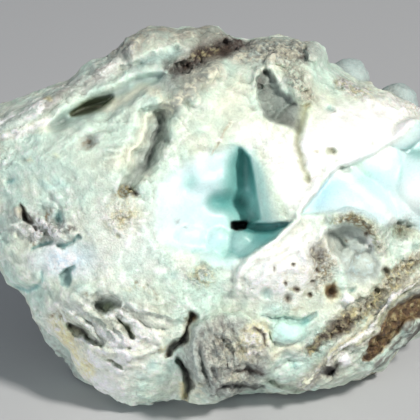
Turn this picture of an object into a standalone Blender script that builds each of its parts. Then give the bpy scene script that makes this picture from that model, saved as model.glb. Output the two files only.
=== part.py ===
"""A hand specimen of botryoidal hemimorphite: one stone, grown as one piece.

The stone is carved with its best face towards the viewer: u runs to the viewer's right, v runs up and
w runs towards the viewer, in millimetres from the middle of the face. It is then tipped back to the
attitude in which it rests. In the finished model +Z is up, the viewer stands on the -Y side, and the
origin is on the resting surface under the middle of the stone.
"""

import math

import bmesh
import bpy
import numpy as np
from mathutils import Matrix, Vector, noise

MM = 0.001

# Driving dimensions, in millimetres and degrees.
FRONT_BULGE = 23.0  # how far the face stands in front of the stone's outline
BACK_BULGE = 31.0  # how far the back stands behind it
HEEL = 0.15  # share by which the back of the underside is fuller than the outline
TIP_BACK = 30.0  # the face looks this far up from level
SIGHT = 700.0  # distance from which the face's features are laid out
UNDER_MIDDLE = (1.4, 1.5, -34.3)  # the finished model's origin, once the face is tipped back
BED_HEIGHT = 3.2  # height below which the underside is flattened
BED_SHARE = 0.24  # share of its fall that the underside keeps there
SURFACE_STEP = 0.85  # size of the faces that the carved stone is fused into
KEPT_FACES = 0.108  # share of those faces that the finished solid keeps

# The stone's outline as the viewer sees it, anticlockwise from the right-hand end.
OUTLINE = (
    (47.4, 4.0), (46.2, 11.0), (44.4, 16.4), (42.0, 20.2), (39.5, 21.6), (36.5, 23.0), (33.0, 24.4),
    (29.6, 25.2), (26.4, 27.0), (23.4, 29.2), (22.6, 32.0), (21.2, 33.4), (18.6, 33.6), (16.0, 34.4),
    (13.0, 34.6), (8.0, 33.8), (5.2, 34.4), (2.8, 35.4), (0.4, 36.6), (-2.0, 36.2), (-4.0, 36.6),
    (-6.4, 36.2), (-9.0, 36.8), (-12.0, 36.6), (-14.4, 35.8), (-16.8, 34.2), (-18.0, 32.2), (-20.8, 30.6),
    (-23.6, 29.6), (-26.0, 27.8), (-28.4, 25.8), (-31.6, 24.8), (-37.6, 22.6), (-42.0, 20.6), (-44.8, 18.8),
    (-46.8, 15.0), (-47.4, 10.0), (-47.0, 3.0), (-45.4, -4.0), (-43.4, -9.4), (-42.0, -12.4), (-40.8, -14.8),
    (-38.4, -16.2), (-36.8, -17.4), (-36.0, -19.6), (-35.4, -21.6), (-33.0, -23.6), (-30.4, -26.0), (-28.0, -28.4),
    (-27.0, -31.2), (-24.0, -34.4), (-21.2, -36.6), (-18.4, -38.2), (-16.0, -39.2), (-13.0, -39.2), (-10.0, -38.4),
    (-6.8, -38.0), (-4.0, -38.6), (-1.0, -39.6), (1.2, -39.4), (3.6, -37.6), (6.6, -36.2), (10.4, -35.8),
    (13.6, -36.8), (16.4, -37.0), (20.0, -36.0), (24.0, -35.0), (28.0, -34.0), (31.6, -33.0), (34.2, -31.4),
    (37.0, -28.6), (40.0, -26.0), (42.0, -24.0), (44.2, -20.6), (45.8, -16.0), (47.0, -9.6), (47.6, -2.4),
)

# Rounded lumps that stand up behind the upper slab: middle and radius.
BACK_LUMPS = (
    ((27.6, 26.2, -7.0), 4.2),
    ((24.8, 25.2, -9.0), 3.8),
    ((37.8, 21.4, -8.0), 4.1),
)


def eased(share):
    """A share clipped to 0..1, with a soft start and end."""
    share = np.clip(share, 0.0, 1.0)
    return share * share * (3.0 - 2.0 * share)


def fractal(points, wavelength, octaves, shift=0.0):
    """Rough natural noise, about -1 to 1, with its largest lumps a wavelength across."""
    places = (points / wavelength + shift).tolist()
    return np.array([noise.fractal(place, 0.9, 2.1, octaves) for place in places])


def bubbles(points, size, shift=0.0):
    """Rounded lumps packed side by side, 1 on a lump's crown and 0 in the crease between two."""
    places = (points / size + shift).tolist()
    nearest = np.array([noise.voronoi(place)[0][:2] for place in places])
    return eased((nearest[:, 1] - nearest[:, 0]) / 0.5)


def segment_distance(u, v, path):
    """Distance of each point from the nearest stretch of a path."""
    found = np.full(len(u), np.inf)
    for (u0, v0), (u1, v1) in zip(path, path[1:]):
        run_u, run_v = u1 - u0, v1 - v0
        along = ((u - u0) * run_u + (v - v0) * run_v) / (run_u**2 + run_v**2)
        along = np.clip(along, 0.0, 1.0)
        found = np.minimum(found, np.hypot(u - u0 - along * run_u, v - v0 - along * run_v))
    return found


def inside(u, v, rim):
    """True where a point lies within a closed rim."""
    found = np.zeros(len(u), bool)
    for (u0, v0), (u1, v1) in zip(rim, rim[1:] + rim[:1]):
        if v0 == v1:
            continue
        crosses = (v0 > v) != (v1 > v)
        found ^= crosses & (u < u0 + (v - v0) * (u1 - u0) / (v1 - v0))
    return found


class Face:
    """The side that the viewer sees, as a depth w over each place (u, v)."""

    def __init__(self, points):
        self.u, self.v, self.w = points.T.copy()
        self.facing = eased(self.w / 2.0)

    def points(self):
        return np.column_stack((self.u, self.v, self.w))

    def reach(self, at, radii, turn):
        """0 at the middle of an ellipse, 1 on its rim."""
        cos, sin = math.cos(math.radians(turn)), math.sin(math.radians(turn))
        du, dv = self.u - at[0], self.v - at[1]
        return np.hypot((du * cos + dv * sin) / radii[0], (dv * cos - du * sin) / radii[1])

    def swell(self, at, radii, height, turn=0.0, wall=1.0):
        """Raises a round area, or sinks it where height is negative. A small wall has a steep side."""
        self.w += self.facing * height * eased((1.0 - self.reach(at, radii, turn)) / wall)

    def lobe(self, at, radii, height, turn=0.0):
        """A smooth dome with a crease round its foot, as the mineral grows in a hollow."""
        self.w += self.facing * height * np.sqrt(np.clip(1.0 - self.reach(at, radii, turn) ** 2, 0.0, 1.0))

    def ridge(self, path, width, height, wall=1.0):
        """Raises a band along a path, or cuts a furrow where height is negative."""
        share = 1.0 - segment_distance(self.u, self.v, path) / (width / 2.0)
        self.w += self.facing * height * eased(share / wall)

    def basin(self, rim, depth, wall, shallow=None, deep=None):
        """Sinks everything within a closed rim, over a wall of this width.

        With two places given, the floor slopes from no depth at the shallow one to full depth at the deep one.
        """
        within = inside(self.u, self.v, rim)
        share = eased(np.where(within, segment_distance(self.u, self.v, rim + rim[:1]) / wall, 0.0))
        if shallow:
            run = np.subtract(deep, shallow)
            along = (self.u - shallow[0]) * run[0] + (self.v - shallow[1]) * run[1]
            share *= np.clip(along / (run @ run), 0.0, 1.0)
        self.w -= self.facing * depth * share


def main_hollow(face):
    """The large hollow in the middle of the face. Its floor falls from the left to a deep corner at the right."""
    face.swell((16.4, 3.6), (12.0, 13.0), 4.2)
    rim = [(-12.6, 1.0), (-10.0, 8.0), (-5.0, 12.0), (0.0, 14.0), (3.6, 14.2), (8.4, 12.4), (9.4, 9.0), (9.8, 4.6),
           (10.6, 0.6), (11.2, -1.7), (16.8, -2.2), (15.0, -4.6), (12.0, -6.4), (9.4, -7.4), (8.9, -9.4), (6.8, -10.8),
           (3.0, -14.0), (-3.0, -13.0), (-8.4, -10.0), (-12.0, -5.0)]
    face.basin(rim, 9.0, 2.2, shallow=(-12.5, 3.0), deep=(8.0, 2.0))
    face.swell((6.9, 8.0), (3.6, 6.0), -4.0)
    face.swell((2.2, 0.8), (4.0, 3.6), -3.0)
    face.lobe((-2.4, 7.4), (5.6, 4.0), 1.6, turn=15.0)
    face.ridge([(10.6, -3.4), (13.4, -3.2), (16.0, -2.8)], 2.6, -5.0)
    face.swell((5.6, -3.2), (2.2, 1.4), -6.0, wall=0.5)
    for at, radii, height in (
        ((6.6, -7.2), (2.6, 2.4), 3.4),
        ((1.8, -5.8), (2.4, 2.2), 3.2),
        ((-0.4, -8.6), (3.2, 2.2), 2.4),
        ((3.4, -11.4), (3.0, 2.6), 3.2),
        ((-5.4, -5.4), (4.6, 4.2), 1.6),
    ):
        face.lobe(at, radii, height)


def right_hollow(face):
    """The hollow at the right, under the edge of the upper slab, nearly filled by smooth domes."""
    rim = [(16.0, 0.0), (17.2, -1.0), (20.0, 2.2), (22.4, 6.2), (23.6, 8.0), (25.0, 8.6), (27.4, 9.6),
           (29.4, 10.6), (31.8, 11.6), (34.2, 12.4), (36.6, 13.4), (39.0, 15.6), (40.8, 17.2), (43.0, 18.2),
           (50.0, 19.0), (52.0, 0.0), (44.0, -5.6), (40.0, -7.0), (37.0, -5.6), (34.0, -2.4), (30.0, 0.4), (26.0, 1.4),
           (23.0, 0.4), (20.0, -0.8)]
    face.basin(rim, 9.0, 1.6, shallow=(34.0, -12.0), deep=(30.0, 8.0))
    face.ridge([(26.6, 8.0), (29.6, 4.6), (32.6, 1.4), (35.0, -1.6)], 9.0, 5.0)
    face.lobe((37.0, 7.4), (6.4, 6.6), 4.6, turn=30.0)
    face.lobe((41.6, 3.0), (5.4, 7.4), 4.0)
    face.lobe((38.4, 13.2), (2.6, 1.6), 2.6, turn=25.0)
    face.lobe((42.6, 11.8), (3.6, 3.0), 3.4)
    face.swell((25.6, 8.2), (1.8, 1.0), -3.0, wall=0.6)


def upper_left(face):
    """Long bands that run up to the right, with an open slit between two of them."""
    face.ridge([(-43.0, 17.0), (-32.0, 22.4), (-22.0, 27.2), (-12.0, 31.0)], 7.0, 2.2)
    face.ridge([(-33.0, 16.4), (-29.0, 18.4), (-22.0, 22.2), (-15.0, 26.2)], 6.0, -3.4)
    face.ridge([(-27.4, 19.0), (-24.0, 20.6), (-20.6, 22.2)], 3.0, -6.0, wall=0.7)
    face.ridge([(-20.6, 22.2), (-17.6, 24.0), (-14.4, 25.6)], 2.4, -2.6)
    face.swell((-29.6, 17.4), (2.2, 1.8), -2.6)
    face.swell((-19.0, 15.6), (12.0, 6.0), 3.2, turn=32.0)
    face.swell((-23.2, 15.0), (2.8, 1.8), -1.6, turn=35.0)
    face.ridge([(-8.6, 19.0), (-10.4, 14.6), (-12.6, 10.0), (-16.0, 5.0)], 8.0, -4.6)
    face.ridge([(-13.6, 17.6), (-14.6, 12.6), (-17.4, 8.0), (-18.6, 3.4)], 3.6, 1.6)


def upper_right(face):
    """The broad slab at the upper right, with a shaded pit at its left end and a knobbly crest above."""
    pit = [(9.0, 25.0), (11.0, 27.0), (14.0, 28.0), (17.6, 26.0), (19.4, 22.6), (18.6, 20.0), (19.0, 16.4), (16.4, 16.8),
           (13.4, 17.6), (10.6, 19.8)]
    face.basin(pit, 5.4, 2.4)
    face.ridge([(19.4, 20.6), (18.4, 18.2), (17.8, 15.4), (17.6, 12.4), (18.6, 9.6), (20.0, 7.6)], 2.6, -1.6)
    face.swell((24.4, 11.6), (2.0, 1.6), -1.8)
    face.swell((25.2, 19.2), (2.0, 1.2), -2.0)
    face.ridge([(22.0, 29.0), (27.0, 24.0), (32.0, 22.0), (38.0, 20.6), (43.0, 18.4)], 6.0, 2.4)
    face.ridge([(-8.0, 27.0), (-4.0, 29.0), (1.0, 31.4), (6.0, 33.4)], 5.0, -4.0)
    face.swell((-8.8, 31.0), (3.0, 2.6), -1.8)
    for at, radius in (((-7.6, 22.0), 3.0), ((-3.4, 25.0), 3.4), ((2.6, 27.4), 3.2), ((12.0, 31.6), 3.0),
                       ((21.8, 30.6), 2.0), ((29.6, 22.6), 2.2), ((34.4, 21.4), 2.0), ((39.4, 20.0), 2.2)):
        face.lobe(at, (radius, radius * 0.8), 1.5)


def lower_right(face):
    """The lower right mass: an arched hollow, two bands of porous matrix and the pale vein between them."""
    face.swell((15.0, -11.0), (15.0, 8.0), 3.6, turn=25.0)
    face.ridge([(20.4, -7.6), (22.6, -4.0), (25.2, -2.8), (28.2, -2.2), (31.4, -4.0), (32.6, -5.4)], 2.4, 1.6)
    face.swell((28.0, -8.6), (5.4, 7.6), -5.4, turn=15.0, wall=0.8)
    face.swell((38.0, -4.0), (2.6, 1.8), -2.4)
    face.swell((22.6, -11.0), (4.4, 5.6), -1.6)
    face.ridge([(20.0, -28.0), (26.0, -22.0), (32.0, -17.0), (40.0, -11.0)], 6.0, -2.2)
    face.ridge([(18.0, -32.4), (24.0, -28.6), (29.4, -24.4), (34.4, -19.6), (42.0, -13.0)], 3.4, 2.4)
    face.ridge([(30.0, -30.6), (34.0, -26.0), (38.0, -21.6), (43.0, -18.0)], 6.0, -3.4)
    face.ridge([(10.6, -21.2), (14.4, -23.4), (18.0, -23.6), (21.4, -21.2)], 3.4, -4.2, wall=0.8)
    face.lobe((15.6, -26.6), (4.6, 3.0), 2.0)
    face.swell((24.0, -32.2), (2.8, 1.8), -4.0, wall=0.6)
    face.lobe((26.6, -29.4), (1.8, 1.8), 2.6)


def foot_lobe(face):
    """The wrinkled crusty lobe at the foot, and the crevice to its left."""
    face.lobe((3.4, -29.6), (9.4, 9.6), 4.6)
    face.ridge([(-3.0, -21.0), (-4.4, -24.4), (-8.0, -28.0)], 3.4, -5.0)
    face.ridge([(-5.0, -28.6), (-5.8, -32.6), (-4.2, -36.4)], 3.2, -5.0)
    face.ridge([(3.0, -36.2), (8.0, -35.0), (12.0, -35.4)], 2.4, -3.0)
    face.ridge([(-3.6, -24.0), (-3.6, -28.0), (-2.8, -33.0)], 3.0, 1.6)
    face.ridge([(-2.4, -31.6), (1.0, -33.6), (3.0, -36.8)], 2.2, -1.4)


def lower_left(face):
    """The lower left mass: open pockets between crusty folds, and a nodular patch of matrix above them."""
    face.swell((-21.0, -24.0), (15.0, 11.0), 2.4)
    face.ridge([(-28.0, -22.6), (-24.4, -25.0)], 3.0, -4.0)
    face.swell((-21.0, -18.6), (2.4, 2.0), -4.0, wall=0.7)
    face.ridge([(-18.6, -21.0), (-17.2, -23.4), (-16.4, -26.0)], 2.2, -3.4)
    face.swell((-20.0, -30.8), (1.6, 1.4), -2.4)
    face.swell((-29.4, -13.2), (1.9, 3.0), -3.8, turn=-15.0, wall=0.6)
    patch = [(-41.0, 2.0), (-36.0, 3.0), (-30.0, 3.0), (-25.0, -2.0), (-27.0, -6.0), (-33.0, -8.0), (-38.0, -7.0),
             (-41.0, -3.0)]
    face.basin(patch, 2.6, 2.0)
    for at, radii, height in (
        ((-38.6, -0.4), (1.6, 1.6), 2.0),
        ((-34.4, -3.6), (1.8, 1.8), 2.0),
        ((-31.0, -0.8), (2.2, 2.0), 2.6),
        ((-31.6, -4.8), (2.2, 1.6), 2.4),
        ((-28.0, -4.2), (2.0, 1.8), 2.4),
    ):
        face.lobe(at, radii, height)
    face.ridge([(-38.6, -14.6), (-34.2, -15.0)], 1.8, -2.0)
    face.swell((-17.8, 2.4), (4.0, 2.4), -1.8)
    face.swell((-18.0, -3.0), (5.0, 3.6), 1.4)


def stone_shape(directions):
    """The stone's broad form: a unit ball drawn out to the outline, with a fuller face than back."""
    outline = np.array(OUTLINE)
    angles = np.arctan2(outline[:, 1], outline[:, 0])
    reach = np.hypot(outline[:, 0], outline[:, 1])
    turned = np.arctan2(directions[:, 1], directions[:, 0])
    stretch = np.interp(turned, *map(np.array, zip(*sorted(zip(angles, reach)))), period=2.0 * math.pi)
    toward = directions[:, 2]
    front = FRONT_BULGE * np.abs(toward) ** 0.9
    back = BACK_BULGE * np.abs(toward) ** 0.85
    w = np.where(toward > 0.0, front, -back)
    heel = np.where(directions[:, 1] < 0.0, 1.0 + HEEL * eased(-w / 20.0), 1.0)
    return np.column_stack((directions[:, 0] * stretch, directions[:, 1] * stretch * heel, w))


def rough_back(points):
    """Broken planes, lumps and small hollows on the sides and back."""
    behind = eased(-points[:, 2] / 6.0)[:, None]
    outward = points / np.linalg.norm(points, axis=1)[:, None]
    broken = 3.4 * fractal(points, 26.0, 3, 3.7) + 1.6 * bubbles(points, 9.0, 1.3) - 0.9
    return points + outward * behind * broken[:, None]


def uneven(points):
    """A fine unevenness all over."""
    outward = points / np.linalg.norm(points, axis=1)[:, None]
    return points + outward * (0.55 * fractal(points, 5.0, 3, 8.1))[:, None]


def settled(points):
    """Flattens the underside to a bumpy bed, so that the stone stands on several patches of it."""
    height = points[:, 2]
    bumpy = 0.9 * fractal(points, 10.0, 2, 2.2) - 1.5
    bed = BED_HEIGHT - BED_SHARE * (BED_HEIGHT - height) + bumpy * eased((BED_HEIGHT - height) / 3.0)
    return np.column_stack((points[:, :2], np.where(height < BED_HEIGHT, bed, height)))


def placed(points):
    """Takes carved points to the attitude and place of the finished stone, in metres.

    The features were laid out as they are seen, so what is nearer the viewer is truly a little smaller.
    """
    scale = 1.0 - points[:, 2] / SIGHT
    u, v, w = points[:, 0] * scale, points[:, 1] * scale, points[:, 2]
    cos, sin = math.cos(math.radians(TIP_BACK)), math.sin(math.radians(TIP_BACK))
    tipped = np.column_stack((u, v * sin - w * cos, v * cos + w * sin)) - UNDER_MIDDLE
    return settled(tipped) * MM


def ball(shape, subdivisions):
    """Adds a unit ball's faces, and gives back the places of their corners."""
    made = bmesh.ops.create_icosphere(shape, subdivisions=subdivisions, radius=1.0)["verts"]
    return np.array([corner.co for corner in made])


def carved_stone(name):
    """The carved stone and the lumps on its back, before they are fused and cut flat below."""
    shape = bmesh.new()
    face = Face(stone_shape(ball(shape, 7)))
    for carve in (main_hollow, right_hollow, upper_left, upper_right, lower_right, foot_lobe, lower_left):
        carve(face)
    points = [rough_back(face.points())]
    points += [ball(shape, 4) * radius + middle for middle, radius in BACK_LUMPS]
    for corner, point in zip(shape.verts, placed(uneven(np.vstack(points)))):
        corner.co = point
    mesh = bpy.data.meshes.new(name)
    shape.to_mesh(mesh)
    shape.free()
    return mesh


def stone_material():
    """Pale blue-green hemimorphite with a soft waxy surface."""
    material = bpy.data.materials.new("hemimorphite")
    material.use_nodes = True
    shader = material.node_tree.nodes["Principled BSDF"]
    shader.inputs["Base Color"].default_value = (0.66, 0.83, 0.78, 1.0)
    shader.inputs["Roughness"].default_value = 0.55
    shader.inputs["Metallic"].default_value = 0.0
    return material


def floor_cutter(parts):
    """A slab whose top is the resting surface. It takes off what would hang below it."""
    slab = bmesh.new()
    bmesh.ops.create_cube(slab, size=0.2, matrix=Matrix.Translation(Vector((0.0, 0.0, -0.1))))
    mesh = bpy.data.meshes.new("resting_surface")
    slab.to_mesh(mesh)
    slab.free()
    cutter = bpy.data.objects.new("resting_surface", mesh)
    cutter.hide_render = True
    cutter.display_type = "WIRE"
    parts.objects.link(cutter)
    return cutter


def collection(name):
    made = bpy.data.collections.new(name)
    bpy.context.scene.collection.children.link(made)
    return made


def main():
    for thing in list(bpy.data.objects):
        bpy.data.objects.remove(thing)
    parts = collection("hemimorphite_specimen")
    cutters = collection("cutters")
    stone = bpy.data.objects.new("hemimorphite", carved_stone("hemimorphite"))
    parts.objects.link(stone)
    stone.data.materials.append(stone_material())

    fuse = stone.modifiers.new("fuse", "REMESH")
    fuse.mode = "VOXEL"
    fuse.voxel_size = SURFACE_STEP * MM

    facets = stone.modifiers.new("facets", "DECIMATE")
    facets.ratio = KEPT_FACES
    facets.use_collapse_triangulate = True

    rest = stone.modifiers.new("rest", "BOOLEAN")
    rest.operation = "DIFFERENCE"
    rest.object = floor_cutter(cutters)


main()
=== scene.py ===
"""A hand specimen of botryoidal hemimorphite: the stone as the eye sees it, with its floor, light and camera.

The stone is laid out as the viewer sees its best face: u runs to the viewer's right, v runs up and w runs
towards the viewer, in millimetres from the middle of the face. It is then tipped back to the attitude in
which it rests, with +Z up and the viewer on the -Y side.
"""

import logging
import math
from abc import ABC, abstractmethod
from dataclasses import dataclass
from enum import Enum
from typing import Optional, Sequence, Union

import bmesh
import bpy
import numpy as np
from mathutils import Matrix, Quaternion, Vector, noise


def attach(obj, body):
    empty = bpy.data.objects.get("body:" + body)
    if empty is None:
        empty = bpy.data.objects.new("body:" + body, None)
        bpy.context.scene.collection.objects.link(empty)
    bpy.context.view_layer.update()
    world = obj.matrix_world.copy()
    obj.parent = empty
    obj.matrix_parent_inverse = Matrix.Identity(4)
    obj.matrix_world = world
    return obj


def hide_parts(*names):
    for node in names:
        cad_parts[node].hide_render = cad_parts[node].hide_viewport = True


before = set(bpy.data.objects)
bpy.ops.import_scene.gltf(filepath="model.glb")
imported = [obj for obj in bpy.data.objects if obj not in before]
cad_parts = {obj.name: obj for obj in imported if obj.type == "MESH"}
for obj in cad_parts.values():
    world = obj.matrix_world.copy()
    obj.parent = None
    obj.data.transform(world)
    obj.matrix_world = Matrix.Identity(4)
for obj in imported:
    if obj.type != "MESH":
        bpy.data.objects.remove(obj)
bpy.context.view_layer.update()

log = logging.getLogger("hemimorphite")

Place = tuple[float, float]
Path = Sequence[Place]
Widths = Union[float, Sequence[float]]

MM = 0.001
# The brightest that a colour gets, in linear light, and the middle of what crumpled gives.
CHALK = 0.93
CRUMPLED_MIDDLE = 0.9


def linear(sheet: str) -> np.ndarray:
    """Turns an sRGB hex colour to linear light.

    Args:
        sheet: Six hex digits, red first.

    Returns:
        Three channels from 0 to 1.
    """
    channels = np.array([int(sheet[at : at + 2], 16) for at in (0, 2, 4)]) / 255.0
    return np.where(channels <= 0.04045, channels / 12.92, ((channels + 0.055) / 1.055) ** 2.4)


class Tint(Enum):
    """The colours of the stone's mineral crusts, each named for what is seen; SEA, TEAL, DEEP, ASH, MOSS,
    SHADE and PITCH are also laid as painted shade in hollows, slits and valleys.
    """

    MINT = "cbdccb"
    AQUA = "b8dfd6"
    SEA = "8cc4be"
    TEAL = "4f9793"
    DEEP = "2c6a69"
    SKY = "bfe4f4"
    ICE = "d2e9ea"
    WHITE = "f7f9f3"
    CREAM = "e2e2ca"
    STRAW = "d8cf9f"
    OLIVE = "a5ab80"
    MOSS = "5f6b4a"
    PEARL = "b7c1b8"
    ASH = "87918a"
    LILAC = "a8a59d"
    LAVENDER = "cfe0ec"
    GRAVEL = "85837b"
    SHADE = "5f6962"
    PLUM = "675d58"
    LIMONITE = "806a44"
    RUST = "6d4a2c"
    UMBER = "3f2f20"
    PITCH = "16130f"

    def light(self) -> np.ndarray:
        """The colour in linear light."""
        return linear(self.value)


def eased(share: np.ndarray) -> np.ndarray:
    """A share clipped to 0..1, with a soft start and end."""
    share = np.clip(share, 0.0, 1.0)
    return share * share * (3.0 - 2.0 * share)


def cos_sin(turn: float) -> tuple[float, float]:
    """The cosine and sine of a turn in degrees."""
    return math.cos(math.radians(turn)), math.sin(math.radians(turn))


def fractal(points: np.ndarray, wavelength: float, octaves: int, shift: float = 0.0) -> np.ndarray:
    """Rough natural noise, about -1 to 1.

    Args:
        points: Places in millimetres.
        wavelength: Size of the largest lumps.
        octaves: How many finer scales are added.
        shift: Moves the pattern, so that two layers differ.

    Returns:
        One value a point.
    """
    places = (points / wavelength + shift).tolist()
    return np.array([noise.fractal(place, 0.9, 2.1, octaves) for place in places])


def crumpled(points: np.ndarray, wavelength: float, octaves: int, shift: float = 0.0) -> np.ndarray:
    """Sharp wandering crests, 0 to about 2, as on a crumpled crust. It takes fractal's arguments."""
    places = (points / wavelength + shift).tolist()
    return np.array([noise.ridged_multi_fractal(place, 0.95, 2.1, octaves, 1.0, 2.0) for place in places])


def bubbles(points: np.ndarray, size: float, shift: float = 0.0) -> np.ndarray:
    """Rounded lumps packed side by side: 1 on a lump's crown, 0 in the crease between two."""
    places = (points / size + shift).tolist()
    nearest = np.array([noise.voronoi(place)[0][:2] for place in places])
    return eased((nearest[:, 1] - nearest[:, 0]) / 0.5)


def chipped(points: np.ndarray, size: float, shift: float = 0.0) -> np.ndarray:
    """Small tilted planes with low steps between them, about -1 to 1, as where a crust has broken away.

    Args:
        points: Places in millimetres.
        size: How far apart the planes are.
        shift: Moves the pattern.

    Returns:
        One value a point.
    """
    bent = points / size + 0.35 * drift(points, 0.7 * size) + shift
    heights = []
    for x, y, z in bent.tolist():
        middle = noise.voronoi((x, y, z))[1][0]
        tilt = noise.cell_vector(middle * 9.0)
        heights.append((x - middle.x) * tilt.x + (y - middle.y) * tilt.y + (z - middle.z) * tilt.z)
    return 1.4 * np.array(heights)


def shelves(points: np.ndarray, size: float, steps: int, shift: float = 0.0) -> np.ndarray:
    """Broken sheets that lie over each other in flat steps, about -1 to 1.

    Args:
        points: Places in millimetres.
        size: How wide the largest sheets are.
        steps: How many steps there are from the middle level to the highest.
        shift: Moves the pattern.

    Returns:
        One value a point.
    """
    tiers = 1.6 * steps * fractal(points, size, 2, shift)
    level = np.floor(tiers)
    return (level + eased((tiers - level) / 0.16) - 0.5) / steps


def layered(points: np.ndarray, turn: float, wavelength: float, shift: float = 0.0) -> np.ndarray:
    """Long low ridges side by side, about -1 to 1, as on a crust laid down in bands.

    Args:
        points: u, v and w in millimetres.
        turn: Degrees by which the ridges are turned from level.
        wavelength: About how far apart they are.
        shift: Moves the pattern.

    Returns:
        One value a point.
    """
    cos, sin = cos_sin(turn)
    u, v, w = points.T
    drawn = np.column_stack(((u * cos + v * sin) / 4.5, v * cos - u * sin, w / 2.0))
    return fractal(drawn, wavelength, 4, shift)


def drift(points: np.ndarray, wavelength: float) -> np.ndarray:
    """A wandering sideways shift for each point, about -1 to 1 along each axis."""
    return np.array([noise.noise_vector(place) for place in (points / wavelength).tolist()])


class Places:
    """Points on the stone's surface as the viewer sees them, and the shapes marked out on them."""

    def __init__(self, points: np.ndarray, ragged: float) -> None:
        """Takes the points.

        Args:
            points: u, v and w of each point, in millimetres.
            ragged: How far the edges of crusty shapes wander.
        """
        self.points = points
        self.plain_u, self.plain_v, self.w = points.T.copy()
        flat = points * (1.0, 1.0, 0.35)
        shift = ragged * drift(flat, 2.6) + 0.45 * ragged * drift(flat + 9.0, 0.9)
        self.u = self.plain_u + shift[:, 0]
        self.v = self.plain_v + shift[:, 1]
        self.facing = eased((self.w + 0.5) / 2.5)

    def smooth(self) -> None:
        """Marks the next shapes with clean edges."""
        self.kept = (self.u, self.v)
        self.u, self.v = self.plain_u, self.plain_v

    def ragged(self) -> None:
        """Marks the next shapes with wandering edges again."""
        self.u, self.v = self.kept

    def reach(self, at: Place, radii: Place, turn: float = 0.0) -> np.ndarray:
        """0 at the middle of an ellipse, 1 on its rim.

        Args:
            at: The middle.
            radii: Half its length and half its width.
            turn: Degrees by which its length is turned from level.

        Returns:
            One value a point.
        """
        cos, sin = cos_sin(turn)
        du, dv = self.u - at[0], self.v - at[1]
        return np.hypot((du * cos + dv * sin) / radii[0], (dv * cos - du * sin) / radii[1])

    def spot(self, at: Place, radii: Place, turn: float = 0.0, edge: float = 1.0) -> np.ndarray:
        """A round area: 1 inside, falling to 0 over edge, its outer share. It takes reach's arguments too."""
        return self.facing * eased((1.0 - self.reach(at, radii, turn)) / edge)

    def dome(self, at: Place, radii: Place, turn: float = 0.0) -> np.ndarray:
        """A ball's upper half over an ellipse, 1 at its top. It takes reach's arguments."""
        return self.facing * np.sqrt(np.clip(1.0 - self.reach(at, radii, turn) ** 2, 0.0, 1.0))

    def streak(self, path: Path, width: Widths, edge: float = 1.0) -> np.ndarray:
        """A band along a path.

        Args:
            path: Its corners.
            width: Its full width, or one for each corner.
            edge: The outer share of the half width over which it falls to 0.

        Returns:
            1 inside and 0 outside, one value a point.
        """
        widths = np.broadcast_to(np.array(width, float), len(path))
        found = np.full(len(self.u), -1.0)
        for at in range(len(path) - 1):
            start, run = np.array(path[at]), np.subtract(path[at + 1], path[at])
            du, dv = self.u - start[0], self.v - start[1]
            along = np.clip((du * run[0] + dv * run[1]) / (run @ run), 0.0, 1.0)
            wide = (widths[at] + along * (widths[at + 1] - widths[at])) / 2.0
            found = np.maximum(found, 1.0 - np.hypot(du - along * run[0], dv - along * run[1]) / wide)
        return self.facing * eased(found / edge)

    def patch(self, rim: Path, edge: float, slope: Optional[tuple[Place, Place]] = None) -> np.ndarray:
        """Everything within a closed rim.

        Args:
            rim: Its corners.
            edge: Millimetres over which it rises from 0 to 1 inside the rim.
            slope: A place where it stays 0 and one where it is full, for a floor that falls between them.

        Returns:
            One value a point.
        """
        within = np.zeros(len(self.u), bool)
        gap = np.full(len(self.u), np.inf)
        for (u0, v0), (u1, v1) in zip(rim, [*rim[1:], rim[0]]):
            if v0 != v1:
                crosses = (v0 > self.v) != (v1 > self.v)
                within ^= crosses & (self.u < u0 + (self.v - v0) * (u1 - u0) / (v1 - v0))
            run_u, run_v = u1 - u0, v1 - v0
            along = ((self.u - u0) * run_u + (self.v - v0) * run_v) / (run_u**2 + run_v**2)
            along = np.clip(along, 0.0, 1.0)
            gap = np.minimum(gap, np.hypot(self.u - u0 - along * run_u, self.v - v0 - along * run_v))
        share = eased(np.where(within, gap / edge, 0.0))
        if slope:
            shallow, deep = np.array(slope)
            run = deep - shallow
            along = (self.u - shallow[0]) * run[0] + (self.v - shallow[1]) * run[1]
            share *= np.clip(along / (run @ run), 0.0, 1.0)
        return self.facing * share

    def mark(self, where: Union[Place, Path], size: Union[Place, Widths], *more: float) -> np.ndarray:
        """A streak along a path, or a spot round a single place, with what each takes after its size."""
        shape = self.streak if isinstance(where[0], tuple) else self.spot
        return shape(where, size, *more)


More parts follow.
